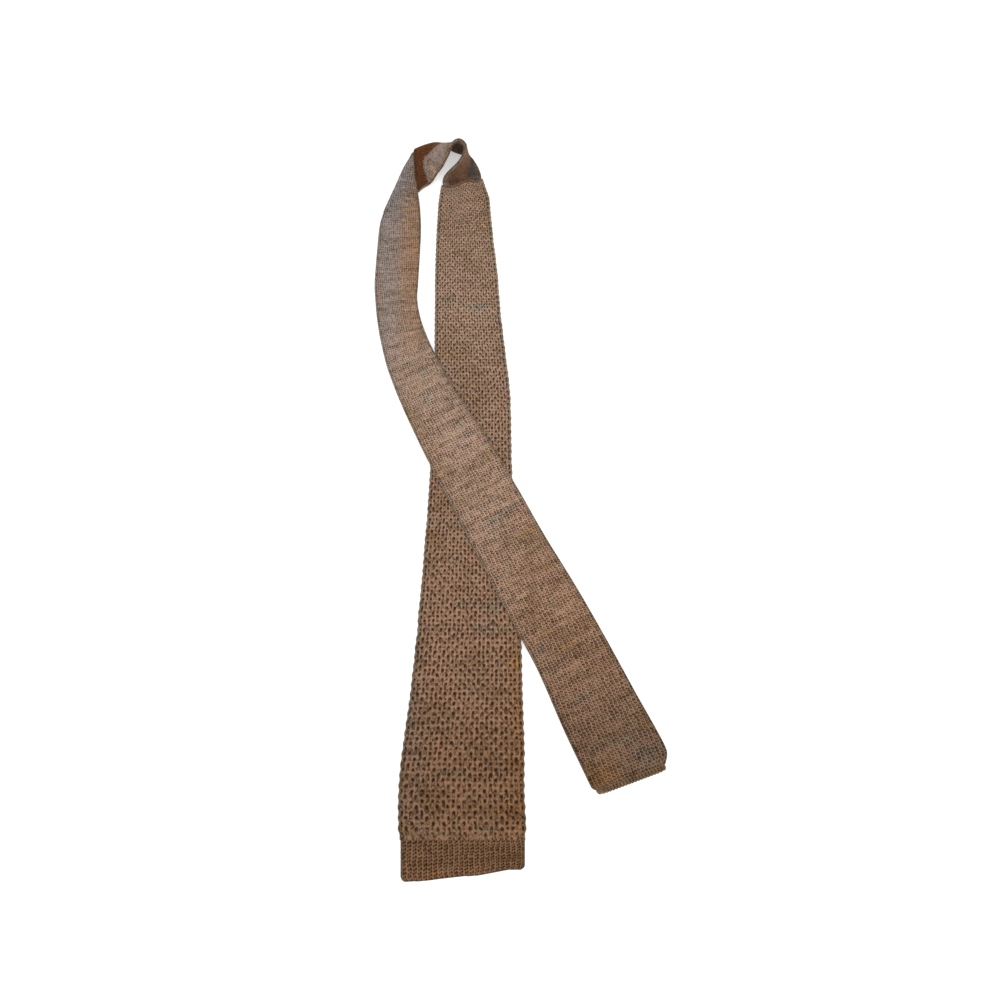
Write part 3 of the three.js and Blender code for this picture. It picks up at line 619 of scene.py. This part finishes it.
def makeBlade():
    foot, top = blade["foot"] - blade["footLap"], tie["bladeLength"]
    fine = np.linspace(foot, top, 4000)
    left, right = bladeAt(fine)
    pitch = (right - left) / (blade["wales"] + 1) * blade["rowPitch"]
    counted = np.concatenate([[0], np.cumsum(np.diff(fine) * 2 / (pitch[1:] + pitch[:-1]))])
    rowCount = int(counted[-1] * blade["stepsPerRow"])
    rows = np.arange(rowCount + 1) / blade["stepsPerRow"]
    y = np.interp(rows, counted, fine)
    y[-1] = top
    left, right = bladeAt(y)
    # the edges swell at every loop
    stitch = (right - left) / (blade["wales"] + 1)
    swellEdge = blade["edgeSwell"] * stitch * np.cos(rows * math.pi)
    left = left - swellEdge + blade["edgeWobble"] * stitch * unevenWave(y, 0, 3, 17)
    right = right + swellEdge + blade["edgeWobble"] * stitch * unevenWave(y, 0, 8, 15)
    # it draws in where the hem is sewn on
    tuckIn = blade["footTuck"] * (1 - smoothStep(y, foot, foot + blade["footTuckRun"]))
    left, right = left + tuckIn, right - tuckIn
    swell = smoothStep(y, top - 5 * tie["mouthDepth"], top - tie["mouthDepth"])
    depth = tie["bladeThickness"] + (mouthThickness - tie["bladeThickness"]) * swell
    columns = blade["wales"] * blade["stepsPerWale"]
    share = np.arange(columns + 1) / columns
    x = (left + depth / 2)[:, None] + (right - left - depth)[:, None] * share[None]
    topShare = smoothStep(y, top - 5 * tie["mouthDepth"], top)[:, None]
    mouthX = mouthCentre + ((x - left[:, None]) / (right - left)[:, None] - 0.5) * mouthWidth
    height = y[:, None] + topShare * mouthRiseAt(mouthX)
    z = (depth / 2)[:, None] + blade["lump"] * unevenWave(x, height, 5, blade["lumpRun"])
    middle = np.stack([x, height, z], 2)
    normals = np.zeros_like(middle) + (0, 0, 1)
    u, v = swayed(share[None] * blade["wales"] + 1, rows[:, None] + 0 * x, blade)
    relief = honeycombHeight(u, v) * stitch[:, None] * blade["reliefShare"] * smoothStep(v, 0.5, 2)
    edge = smoothStep(y, top - 1.5, top)[:, None]
    relief = relief * (1 - edge) * smoothStep(y, foot, foot + 1.5)[:, None]
    rings = tubeRings(middle, normals, depth / 2, blade, relief)
    knitU = walesAround(blade, share, 1, 2, 3, -1)
    courses = rows[:, None] + 0 * knitU[None, :]
    knit = np.stack(swayed(knitU[None, :], courses, blade), 2)
    # rolled rims at both ends, and a short way inside
    rims = {-1: [], 1: []}
    for at, away in ((0, -1), (-1, 1)):
        ring = rings[at]
        middleZ = depth[at] / 2
        inner = tie["bandThickness"] / 2 + blade["mouthRoom"] if away > 0 else middleZ - blade["footWall"]
        mid = (ring[:, 0].max() + ring[:, 0].min()) / 2
        wide = (ring[:, 0].max() - ring[:, 0].min()) / 2
        for reach, keep in blade["rim"]:
            shell = ring.copy()
            halfHere = inner + (middleZ - inner) * keep
            shell[:, 2] = middleZ + (ring[:, 2] - middleZ) * halfHere / middleZ
            shell[:, 0] = mid + (ring[:, 0] - mid) * (wide - (middleZ - halfHere)) / wide
            shell[:, 1] = ring[:, 1] + away * reach
            rims[away].append(shell)
    rings = np.concatenate([rims[-1][::-1], rings, rims[1]])
    added = len(blade["rim"])
    knit = np.concatenate([np.repeat(knit[:1], added, 0), knit, np.repeat(knit[-1:], added, 0)])
    tint = edgeShade(shadeAndDyeTintOf(rings, blade["shadeAndDyeTints"]), rings, blade, columns)
    piece = makePiece("blade_knit", rings, knit, tint, honeycombKnit)
    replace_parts(piece, "front_blade")
    area = ((right - left)[1:] + (right - left)[:-1]) @ np.diff(y) / 2e6
    return piece, ((right - left).max() / 1000, (y[-1] - y[0]) / 1000), float(area)


bladePiece, bladeFlat, bladeArea = makeBlade()
print("tie: blade flat", [round(size, 4) for size in bladeFlat], "area", round(bladeArea, 4))


# Hem
hem = {
    "wales": 23, "stepsPerWale": 6, "courses": 11, "stepsPerCourse": 5, "relief": 0.45,
    "thickness": 4.2, "length": 32, "tuck": 1.6, "corner": 5, "rimShare": 0.55, "rimRise": 2.2,
    "ripple": 0.25, "rippleRun": 9, "rippleReach": 8, "sway": 0.12, "swayRun": 4, "swaySeed": 3,
    "edgeSteps": 8, "underColumns": 24,
    "shadeAndDyeTints": [
        (0, 15, 400, 100, 0, (0.62, 0.55, 0.42)),
        (-10, 3, 30, 4, 0, (1.25, 1.15, 1.15)),
        (48, 4, 10, 8, 0, (0.8, 0.8, 0.85)),
    ],
}


def plainHeight(u, v):
    legs = 0.5 - np.cos(u * 4 * math.pi) * 0.5
    fromMiddle = np.abs(u - np.round(u)) * 2
    beat = 0.5 + np.cos((v + fromMiddle * 0.5) * 2 * math.pi) * 0.5
    return 0.4 * legs - (1 - legs) * (1 - beat)


def makeHem():
    top = hem["length"] + hem["tuck"]
    rowCount = int(hem["courses"] * hem["stepsPerCourse"] * top / hem["length"])
    y = np.linspace(0, top, rowCount + 1)
    y = np.concatenate([[0, 0.25, 0.7], y[1:]])
    corner = hem["corner"]
    cosine = np.clip(1 - y / corner, 0, 1)
    inset = corner * (1 - np.sqrt(1 - cosine ** 2))
    left, right = bladeAt(0)
    half = np.full(len(y), hem["thickness"] / 2)
    half *= hem["rimShare"] + (1 - hem["rimShare"]) * np.sqrt(np.clip(y / hem["rimRise"], 0, 1))
    columns = hem["wales"] * hem["stepsPerWale"]
    share = np.arange(columns + 1) / columns
    lefts, rights = left + inset + half, right - inset - half
    x = lefts[:, None] + (rights - lefts)[:, None] * share[None]
    across = (x - left) / (right - left)
    rise = tie["bladeEndWidth"] * columnAt(footEdge, "across", "rise", np.clip(across, 0, 1))
    height = y[:, None] + np.clip(1 - y / hem["length"], 0, 1)[:, None] * rise
    ripple = hem["ripple"] * unevenWave(x, y[:, None], 4, hem["rippleRun"])
    height = height + ripple * np.clip(1 - y / hem["rippleReach"], 0, 1)[:, None]
    middle = np.stack([x, height, np.broadcast_to(half[:, None], x.shape) + 0], 2)
    normals = np.zeros_like(middle) + (0, 0, 1)
    courses = (y / hem["length"] * hem["courses"])[:, None]
    u, v = swayed(share[None] * hem["wales"] + 0.5, courses + 0 * x, hem)
    relief = plainHeight(u, v) * hem["relief"] * np.clip(y / 1.5, 0, 1)[:, None]
    relief = np.maximum(relief, -half[:, None] * 0.5)
    rings = tubeRings(middle, normals, half, hem, relief)
    knitU = walesAround(hem, share, 0.5, 1.4, 2, -1)
    knit = np.stack(swayed(knitU[None, :], courses + 0 * knitU[None, :], hem), 2)
    tint = edgeShade(shadeAndDyeTintOf(rings, hem["shadeAndDyeTints"]), rings, hem, columns)
    piece = makePiece("hem_knit", rings, knit, tint, hemKnit)
    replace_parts(piece, "blade_hem")
    return piece


hemPiece = makeHem()


# Neck and tail band
band = {
    "wales": 21, "rowStep": 2.2, "stepsPerLoopRow": 7, "foldSteps": 9, "columns": 60,
    "edgeSteps": 8, "underColumns": 26, "coursePitch": 0.92, "sway": 0.22, "swayRun": 4,
    "swaySeed": 7, "lump": 0.15, "lumpRun": 38, "foldHold": 0.25, "branchReach": 90,
    "branchEase": 40,
    # x, y, reach across, reach up, turn and height of each
    "puckers": [
        (-37, 455, 5, 14, 28, 1.5), (-45, 440, 4, 12, 30, -0.7), (-62, 484, 3, 12, -60, -0.9),
        (-57, 488, 3, 11, -58, 0.7), (-52, 505, 5, 30, 4, 0.7), (-64, 560, 4, 60, 3, -0.8),
        (-20, 420, 3, 20, -62, 0.5), (2, 372, 3, 22, -62, 0.4),
    ],
    "rightCorner": 4.5, "leftCorner": 2,
    # darker at its end and lighter in its middle; an ochre and a bluish patch of other dye near its end
    # lit from the sides, with painted grey light and shade near the fold; lighter and greyer up the tail,
    # painted light on the left branch: its left side painted cool grey, its right side lighter, as if
    "straightShadeAndDye": [
        (150, 95, 200, 75, 0, (0.66, 0.66, 0.62)), (90, 232, 80, 60, 0, (1.14, 1.13, 1.12)),
        (121, 84, 16, 12, 25, (1.15, 0.98, 0.7)), (160, 108, 18, 22, 25, (0.94, 0.98, 1.08)),
        (8, 360, 70, 110, 0, (1.35, 1.5, 1.7)), (-40, 440, 40, 55, 0, (1.2, 1.32, 1.45)),
        (-66, 545, 12, 95, 0, (1.1, 1.5, 2.1)), (-44, 535, 10, 90, 0, (1.25, 1.25, 1.2)),
        (-57, 607, 17, 34, 0, (0.98, 1.24, 1.62)), (-50, 616, 15, 26, 0, (0.84, 0.98, 1.18)),
    ],
    # painted light and shade: lighter and darker patches over the loop's folds
    "paintedLoopPatches": [
        (-7, 602, 9, 2.6, 5, (0.78, 0.7, 0.66)), (-5, 613, 7, 4, 40, (1.18, 1.12, 1.06)),
        (3, 621, 1.6, 7, -12, (1.4, 1.16, 1.0)), (-12, 609, 2, 6, -20, (1.22, 1.26, 1.3)),
        (-26, 618, 2, 6, -35, (1.14, 1.1, 1.05)), (-20, 624, 1.6, 7, -35, (0.86, 0.88, 0.9)),
        (-38, 622, 2, 8, 10, (1.3, 1.25, 1.2)), (-34, 606, 3, 4, 0, (0.8, 0.78, 0.75)),
        (12, 600, 4, 4, 0, (1.25, 1.2, 1.15)), (9, 611, 3, 4, 20, (0.74, 0.8, 0.85)),
        (13, 609, 2, 5, -15, (1.22, 1.22, 1.2)), (0, 607, 3, 5, 20, (1.22, 1.12, 1.04)),
    ],
    # and a plain tone on the outer face
    # painted light and shade on the loop: painted shadows in the hollow and inside the arch, the leaf
    # painted light, the right branch in painted shade, brown on its side and cool on its flat part,
    "paintedLoopShade": {
        "hollow": (0.47, 0.28, 0.14),
        "leaf": (1.25, 1.55, 2.1),
        "rightSide": (0.6, 0.54, 0.48),
        "rightFlat": (0.42, 0.55, 0.72),
        "archInside": (0.3, 0.22, 0.15),
        "outerFace": (0.95, 1.05, 1.15),
    },
    # the valley between the loop's painted shadow and its turned-up leaf, painted light, and the crease
    # at the right, where its painted shade turns cool
    "valley": tableOf("y x", [(603, -30), (610, -33), (617.6, -34.4), (623, -33.5), (626, -30.4),
                              (630.7, -25.5), (634, -20.5), (636, -15.5)]),
    "rightCrease": tableOf("y x", [(590, 3), (604, 4.4), (614.8, 6.6), (622.5, 7.7), (627.8, 5.7)]),
}


def directionOf(turn, lean):
    turn, lean = np.radians(turn), np.radians(lean)
    return np.stack([np.cos(lean) * np.cos(turn), np.cos(lean) * np.sin(turn), np.sin(lean)], -1)


def loopPoints(table, straightCrease):
    rows = len(table["right"])
    column = {name: table.get(name, np.zeros(rows)) for name in
              ("first", "firstTurn", "firstLean", "ridge")}
    foot = np.stack([table["right"] * tie["bandWidth"],
                     tie["bladeLength"] + table["above"] * tie["bandWidth"],
                     table["lift"] * tie["bandThickness"]], 1)
    length = (table["span"] * bandCore)[:, None]
    first = column["first"][:, None]
    crease = foot + length * first * directionOf(column["firstTurn"], column["firstLean"])
    # a straight section has its crease inside it, so that the creases' curve stays on the band
    straight = foot + length * straightCrease * directionOf(table["turn"], table["lean"])
    crease = np.where(first > 0, crease, straight)
    first = np.where(first > 0, first, straightCrease)
    rim = crease + length * (1 - first) * directionOf(table["turn"], table["lean"])
    return np.concatenate([foot, crease, rim, column["ridge"][:, None]], 1)


def tailPoints():
    half = (tie["bandWidth"] + (tie["tailEndWidth"] - tie["bandWidth"]) * tailSections["grow"]
            - tie["bandThickness"]) / 2
    middle = np.stack([tailSections["beside"] * tie["tailSpread"],
                       tie["bladeLength"] - tailSections["down"] * tie["tailReach"],
                       np.full(len(half), tie["bandThickness"] / 2)], 1)
    arm = half[:, None] * directionOf(tailSections["turn"], np.zeros(len(half)))
    return np.concatenate([middle + arm, middle, middle - arm, tailSections["ridge"][:, None]], 1)


def refined(rows, stepsOf):
    # sections between the given ones, on curves through their points
    before = np.vstack([2 * rows[:1] - rows[1:2], rows[:-1]])
    after = np.vstack([rows[1:], 2 * rows[-1:] - rows[-2:-1]])
    slope = (after - before) / 2
    fine = []
    for i in range(len(rows) - 1):
        steps = stepsOf(rows[i], rows[i + 1])
        for k in range(steps):
            f = k / steps
            point = cubicBetween(rows[i], rows[i + 1], slope[i], slope[i + 1], f)
            # the ridge's share goes straight from row to row
            point[9] = rows[i][9] + (rows[i + 1][9] - rows[i][9]) * f
            fine.append(point)
    fine.append(rows[-1])
    return np.array(fine)


def acrossSection(row, shares):
    foot, crease, rim, ridge = row[0:3], row[3:6], row[6:9], row[9]
    flatLength = np.linalg.norm(crease - foot)
    bend = flatLength / (flatLength + np.linalg.norm(rim - crease))
    reach = min(tie["creaseReach"], bend, 1 - bend)

    def onLine(t):
        t = np.asarray(t, float)[..., None]
        low = foot + (crease - foot) * (t / bend)
        return np.where(t < bend, low, crease + (rim - crease) * (t - bend) / (1 - bend))

    points = onLine(shares)
    near = np.abs(shares - bend) < reach
    f = ((shares - bend + reach) / (2 * reach))[:, None]
    start = onLine(bend - reach) + (crease - onLine(bend - reach)) * f
    end = crease + (onLine(bend + reach) - crease) * f
    points = np.where(near[:, None], start + (end - start) * f, points)
    bulge = np.exp(-((shares - tie["ridgePlace"]) / tie["ridgeSpread"]) ** 2)
    points[:, 2] += ridge * tie["ridgeHeight"] * bulge * np.sqrt(np.clip(np.sin(np.pi * shares), 0, 1))
    return points


def coverAt(x, y):
    left, right = bladeAt(y)
    beside = np.maximum(left - x, x - right)
    cover = 1 - smoothStep(beside, tie["drapeStart"], tie["drapeStart"] + tie["drapeRun"])
    return np.where((y > tie["bladeLength"]) | (y < 0), 0, cover)


def paintedLoopShade(spots):
    # painted light and shade on the loop's two layers: the under one lies upwards past the fold, but
    # stands outside at the arch, where the top one is the inside, with a painted shadow
    x, y = spots[:, 0], spots[:, 1]
    mix = band["paintedLoopShade"]

    def lean(first, second, share):
        share = np.asarray(share)[:, None]
        return np.asarray(first) + (np.asarray(second) - np.asarray(first)) * share

    # a painted shadow in the hollow left of the valley and painted cool light on the leaf past it
    valley = columnAt(band["valley"], "y", "x", y)
    left = lean(mix["hollow"], mix["leaf"], smoothStep(x - valley, -1.4, 1.4))
    # painted shade on the right branch, brown on its side and cool on its flat part past the crease
    crease = columnAt(band["rightCrease"], "y", "x", y)
    right = lean(mix["rightSide"], mix["rightFlat"], smoothStep(x - crease, -1.5, 2))
    # painted shade darkening along the crease
    dark = np.exp(-((x - crease) / 1.6) ** 2) * smoothStep(y, 600, 615)
    right = right * (1 - 0.4 * dark[:, None])
    colour = lean(left, right, smoothStep(x, -16, -11))
    arch = smoothStep(x, -14, -9) * (1 - smoothStep(x, -1, 5)) * smoothStep(y, 624, 628)
    under = lean(colour * shadeAndDyeTintOf(spots, band["paintedLoopPatches"]), mix["outerFace"], arch)
    # a painted shadow on the lower inside of the arch
    inside = arch * (1 - smoothStep(spots[:, 2], 26, 34))
    return lean(mix["outerFace"], mix["archInside"], inside), under


def makeBand():
    shares = np.linspace(0, 1, band["columns"] + 1)

    def byDistance(a, b):
        return max(1, round(np.linalg.norm(a[0:3] + a[6:9] - b[0:3] - b[6:9]) / 2 / band["rowStep"]))

    upper = refined(np.vstack([tailPoints(), loopPoints(loopAboveFold, 0.5)]), byDistance)
    above = np.array([acrossSection(row, shares) for row in upper])
    cover = coverAt(above[:, :, 0], above[:, :, 1])
    above[:, :, 2] += (tie["bladeThickness"] + tie["clearance"]) * cover
    inside = []
    for reach in (tie["joinStitch"], -tie["mouthDepth"] / 2, -tie["mouthDepth"]):
        y, z = tie["bladeLength"] + reach, mouthThickness / 2
        inside.append([insideRight, y, z, mouthCentre, y, z, insideRight - insideCore, y, z, 0])
    lower = refined(np.vstack([loopPoints(loopBelowFold, 0.7), inside]),
                    lambda a, b: band["stepsPerLoopRow"])
    below = np.array([acrossSection(row, shares) for row in lower])
    top, bottom = above[-1], below[0]
    line = top[-1] - top[0]
    line[2] = 0
    line /= np.linalg.norm(line)
    outward = np.array([line[1], -line[0], 0])
    halfHeight = (top[:, 2] - bottom[:, 2]) / 2
    radius = halfHeight * (band["foldHold"] + (1 - band["foldHold"]) * smoothStep(shares, 0, 0.3))
    fold = []
    for k in range(1, band["foldSteps"]):
        angle = math.pi * k / band["foldSteps"]
        middle = top + (bottom - top) * (1 - math.cos(angle)) / 2
        fold.append(middle + outward * (radius * math.sin(angle))[:, None])
    middle = np.concatenate([above, np.array(fold), below])
    centreLine = middle[:, band["columns"] // 2]
    fromEnd = np.linalg.norm(centreLine - centreLine[0], axis=1)
    onTop = np.arange(len(middle)) < len(above)
    # the corners of the tail's end are rounded off
    for way, pull in ((-1, band["rightCorner"]), (1, band["leftCorner"])):
        share = np.clip(1 - fromEnd / (pull * 2.2), 0, 1) ** 2 * onTop
        side = shares if way > 0 else 1 - shares
        arm = middle[:, 0] - middle[:, -1]
        arm = arm / np.linalg.norm(arm, axis=1, keepdims=True) * way
        reach = (share * pull)[:, None] * smoothStep(side, 0.5, 1)
        middle = middle + arm[:, None] * reach[:, :, None]
    normals = normalsOf(middle)
    rows = len(middle)
    width = np.linalg.norm(np.diff(middle, axis=1), axis=2).sum(1)
    run = np.concatenate([[0], np.linalg.norm(np.diff(centreLine, axis=0), axis=1)])
    courses = np.cumsum(run / (width / (band["wales"] + 1) * band["coursePitch"]))
    lump = band["lump"] * unevenWave(middle[:, :, 0], middle[:, :, 1], 6, band["lumpRun"])
    for *patch, rise in band["puckers"]:
        lump = lump + rise * softPatch(middle, *patch) * onTop[:, None]
    middle = middle + normals * lump[:, :, None]
    middle[:, :, 2] = np.maximum(middle[:, :, 2], tie["bandThickness"] / 2)
    rings = tubeRings(middle, normals, tie["bandThickness"] / 2, band)
    knitU = walesAround(band, shares, 1, 1.6, 2.6, -0.6)
    knit = np.stack(np.broadcast_arrays(knitU[None, :], courses[:, None]), 2).copy()
    straight = shadeAndDyeTintOf(rings, band["straightShadeAndDye"]).reshape(rings.shape)
    looped, underLayer = (part.reshape(rings.shape) for part in paintedLoopShade(rings.reshape(-1, 3)))
    underStart = band["columns"] + band["edgeSteps"]
    under = slice(underStart, underStart + band["underColumns"])
    looped[:, under] = underLayer[:, under]
    foldEnd = len(above) + band["foldSteps"] - 1
    tint = np.concatenate([straight[:foldEnd], looped[foldEnd:]])
    # near the fold the wales run straight on to it, so the left branch is mapped from above
    edgeX, edgeY = middle[onTop, 0, 0], middle[onTop, 0, 1]
    branchStart = np.argmax(edgeY > tie["bladeLength"] - band["branchReach"])
    walePitch = bandCore / band["wales"]
    coursePitch = tie["bandWidth"] / (band["wales"] + 1) * band["coursePitch"]
    topPoints = slice(0, band["columns"] + 1)
    for i in range(branchStart, len(above)):
        spotX, spotY = rings[i, topPoints, 0], rings[i, topPoints, 1]
        right = np.interp(spotY, edgeY[branchStart:], edgeX[branchStart:])
        wale = (right - spotX) / walePitch + 1
        line = courses[branchStart] + (spotY - edgeY[branchStart]) / coursePitch
        ease = smoothStep(spotY, edgeY[branchStart], edgeY[branchStart] + band["branchEase"])
        knit[i, topPoints, 0] += (wale - knit[i, topPoints, 0]) * ease
        knit[i, topPoints, 1] += (line - knit[i, topPoints, 1]) * ease
    # the same stitches go on round the fold
    last = len(above) - 1
    for k in range(1, band["foldSteps"]):
        arc = halfHeight * math.pi * k / band["foldSteps"]
        knit[last + k, topPoints, 0] = knit[last, topPoints, 0] - outward[0] * arc / walePitch
        knit[last + k, topPoints, 1] = knit[last, topPoints, 1] + outward[1] * arc / coursePitch
    knit = np.stack(swayed(knit[:, :, 0], knit[:, :, 1], band), 2)
    tint = edgeShade(tint, rings, band, band["columns"])
    piece = makePiece("band_knit", rings, knit, tint, plainKnit)
    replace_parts(piece, "neck_tail_band")
    return piece, middle, width


bandPiece, bandMiddle, bandWidths = makeBand()
bandSteps = np.linalg.norm(np.diff(bandMiddle[:, band["columns"] // 2], axis=0), axis=1)
bandFlat = (float(bandWidths.max() + tie["bandThickness"]) / 1000, float(bandSteps.sum()) / 1000)
bandArea = float(bandSteps @ (bandWidths[1:] + tie["bandThickness"])) / 1e6
print("tie: band flat", [round(size, 4) for size in bandFlat], "area", round(bandArea, 4))


# Seams
seams = {
    "joinLinks": 40, "joinDepth": 1.5, "joinWidth": 2.1, "endLinks": 21, "endDepth": 6.6,
    "endOverlap": 0.8, "endLinkShare": 0.5, "strand": 0.52, "linkShape": (0.55, 0.71, 0.9),
    "joinLean": 24, "endLean": -18, "cornerBend": 1.4, "cornerPower": 14, "endInset": 2,
    "core": (0.7, 0.36), "coreInset": 0.9,
}


def shapeLink(lean):
    # one oval link of yarn lying in the table's plane, which copies take to their own size
    bpy.ops.object.select_all(action="DESELECT")
    bpy.ops.mesh.primitive_torus_add(major_segments=12, minor_segments=6, major_radius=1,
                                     minor_radius=seams["strand"])
    link = bpy.context.object
    bpy.ops.object.mode_set(mode="EDIT")
    bpy.ops.mesh.select_all(action="SELECT")
    bpy.ops.transform.resize(value=seams["linkShape"])
    bpy.ops.transform.rotate(value=math.radians(lean), orient_axis="Z", center_override=(0, 0, 0))
    bpy.ops.object.mode_set(mode="OBJECT")
    return link


def joinAll(parts, name, material, node):
    selectOnly(parts)
    bpy.ops.object.join()
    piece = bpy.context.object
    piece.name = name
    piece.data.name = name
    bpy.ops.object.transform_apply(location=True, rotation=True, scale=True)
    for vertex in piece.data.vertices:
        vertex.co.z = max(vertex.co.z, tie["tableGap"] / 1000)  # nothing goes into the table
    piece.data.materials.clear()
    piece.data.materials.append(material)
    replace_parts(finishPiece(piece), node)
    return piece


def copyLink(link, spot, turns, size):
    copy = link.copy()
    copy.data = link.data.copy()
    bpy.context.collection.objects.link(copy)
    copy.location = framePlace(spot)
    copy.rotation_euler = turns
    copy.scale = [value / 1000 for value in size]
    return copy


def makeJoinYarn():
    link = shapeLink(seams["joinLean"])
    wrap = tie["bandThickness"] / 2 + tie["clearance"] + tie["joinStitch"] / 2
    run, turn = insideCore, math.pi * wrap
    around = 2 * (run + turn)
    parts = []
    for i in range(seams["joinLinks"]):
        at = around * i / seams["joinLinks"]
        half, at = int(at // (run + turn)), at % (run + turn)
        side = 1 if half == 0 else -1
        angle = max(at - run, 0) / wrap
        x = mouthCentre + side * (min(at, run) - run / 2 + wrap * math.sin(angle))
        z = mouthThickness / 2 + side * wrap * math.cos(angle)
        y = tie["bladeLength"] + mouthRiseAt(x) + tie["clearance"] + tie["joinStitch"] / 2
        size = (seams["joinWidth"], seams["joinWidth"] * 0.8, seams["joinDepth"])
        parts.append(copyLink(link, (x, y, z), (0, angle + (0 if half == 0 else math.pi), 0), size))
    bpy.data.objects.remove(link)
    return joinAll(parts, "join_yarn", joinYarn, "join_seam")


def makeEndYarn():
    row, after = bandMiddle[0], bandMiddle[1]
    radius = tie["bandThickness"] / 2
    across = row[0] - row[-1]
    length = np.linalg.norm(across) + radius
    across = across / np.linalg.norm(across)
    outward = np.array([across[1], -across[0], 0])
    if (row[0] - after[0]) @ outward < 0:
        outward = -outward
    middle = (row[0] + row[-1]) / 2 + outward * (seams["endDepth"] / 2 - seams["endOverlap"])
    angle = math.atan2(across[1], across[0])
    link = shapeLink(seams["endLean"])
    length = length - seams["endInset"]
    pitch = length / seams["endLinks"]
    parts = []
    for i in range(seams["endLinks"]):
        place = (i + 0.5) / seams["endLinks"] * 2 - 1
        spot = middle + across * place * length / 2
        # the chain bends back to the band at both corners
        spot = spot - outward * (abs(place) ** seams["cornerPower"] * seams["cornerBend"])
        spot[2] = radius
        size = (pitch * 1.05, seams["endDepth"] * seams["endLinkShare"], radius * 2.5)
        parts.append(copyLink(link, spot, (0, 0, angle), size))
    bpy.data.objects.remove(link)
    bpy.ops.mesh.primitive_cylinder_add(vertices=12, radius=1, depth=1)
    core = bpy.context.object
    core.location = framePlace((middle[0], middle[1], radius))
    core.rotation_euler = (0, math.pi / 2, angle)
    thick, deep = seams["core"]
    core.scale = (radius * thick / 1000, seams["endDepth"] * deep / 1000,
                  (length - seams["coreInset"]) / 1000)
    return joinAll(parts + [core], "tail_end_yarn", endYarn, "tail_end_seam")


joinPiece = makeJoinYarn()
endPiece = makeEndYarn()


# Camera and light
view = {"eye": 1300, "seen": 870, "middle": (32.19, 326.25), "sensor": 36}
cameraData = bpy.data.cameras.new("camera")
cameraData.sensor_width = view["sensor"]
cameraData.lens = view["sensor"] * view["eye"] / view["seen"]
camera = bpy.data.objects.new("camera", cameraData)
camera.location = framePlace((*view["middle"], view["eye"]))
bpy.context.collection.objects.link(camera)
bpy.context.scene.camera = camera

light = {
    "key": {"at": (1.1, 0.6, 1.15), "power": 44, "size": 0.5, "colour": (1.0, 0.97, 0.92)},
    "fill": {"at": (-1.2, 0.35, 1.0), "power": 14, "size": 1.2, "colour": (0.9, 0.95, 1.0)},
    "high": {"at": (0.0, 0.3, 1.9), "power": 19, "size": 1.6, "colour": (1.0, 1.0, 1.0)},
    "sky": 0.65,
}
for name in ("key", "fill", "high"):
    lamp = light[name]
    bpy.ops.object.light_add(type="AREA", location=lamp["at"])
    made = bpy.context.object
    made.name = name
    made.data.energy = lamp["power"]
    made.data.size = lamp["size"]
    made.data.color = lamp["colour"]
    aim = -np.array(lamp["at"]) / np.linalg.norm(lamp["at"])
    made.rotation_euler = (math.acos(-aim[2]), 0, math.atan2(aim[0], -aim[1]))
bpy.context.scene.view_settings.view_transform = "Standard"
world = bpy.data.worlds.new("studio")
bpy.context.scene.world = world
world.use_nodes = True
background = world.node_tree.nodes["Background"]
background.inputs["Color"].default_value = (1, 1, 1, 1)
background.inputs["Strength"].default_value = light["sky"]

ground = {
    "size": 6,
    "drop": 0.0002,
    "colour": (0.96, 0.96, 0.955, 1),
    "glow": 0.35,  # keeps the ground white under the tie
}
bpy.ops.mesh.primitive_plane_add(size=ground["size"], location=(0, 0, -ground["drop"]))
floor = bpy.context.object
floor.name = "floor"
floorShader = KnitShader("floor", 0.8, 0)
floorShader.set("Base Color", ground["colour"])
floorShader.set("Emission Color", (1, 1, 1, 1))
floorShader.set("Emission Strength", ground["glow"])
floor.data.materials.append(floorShader.material)
print("tie: camera, lights and floor set")
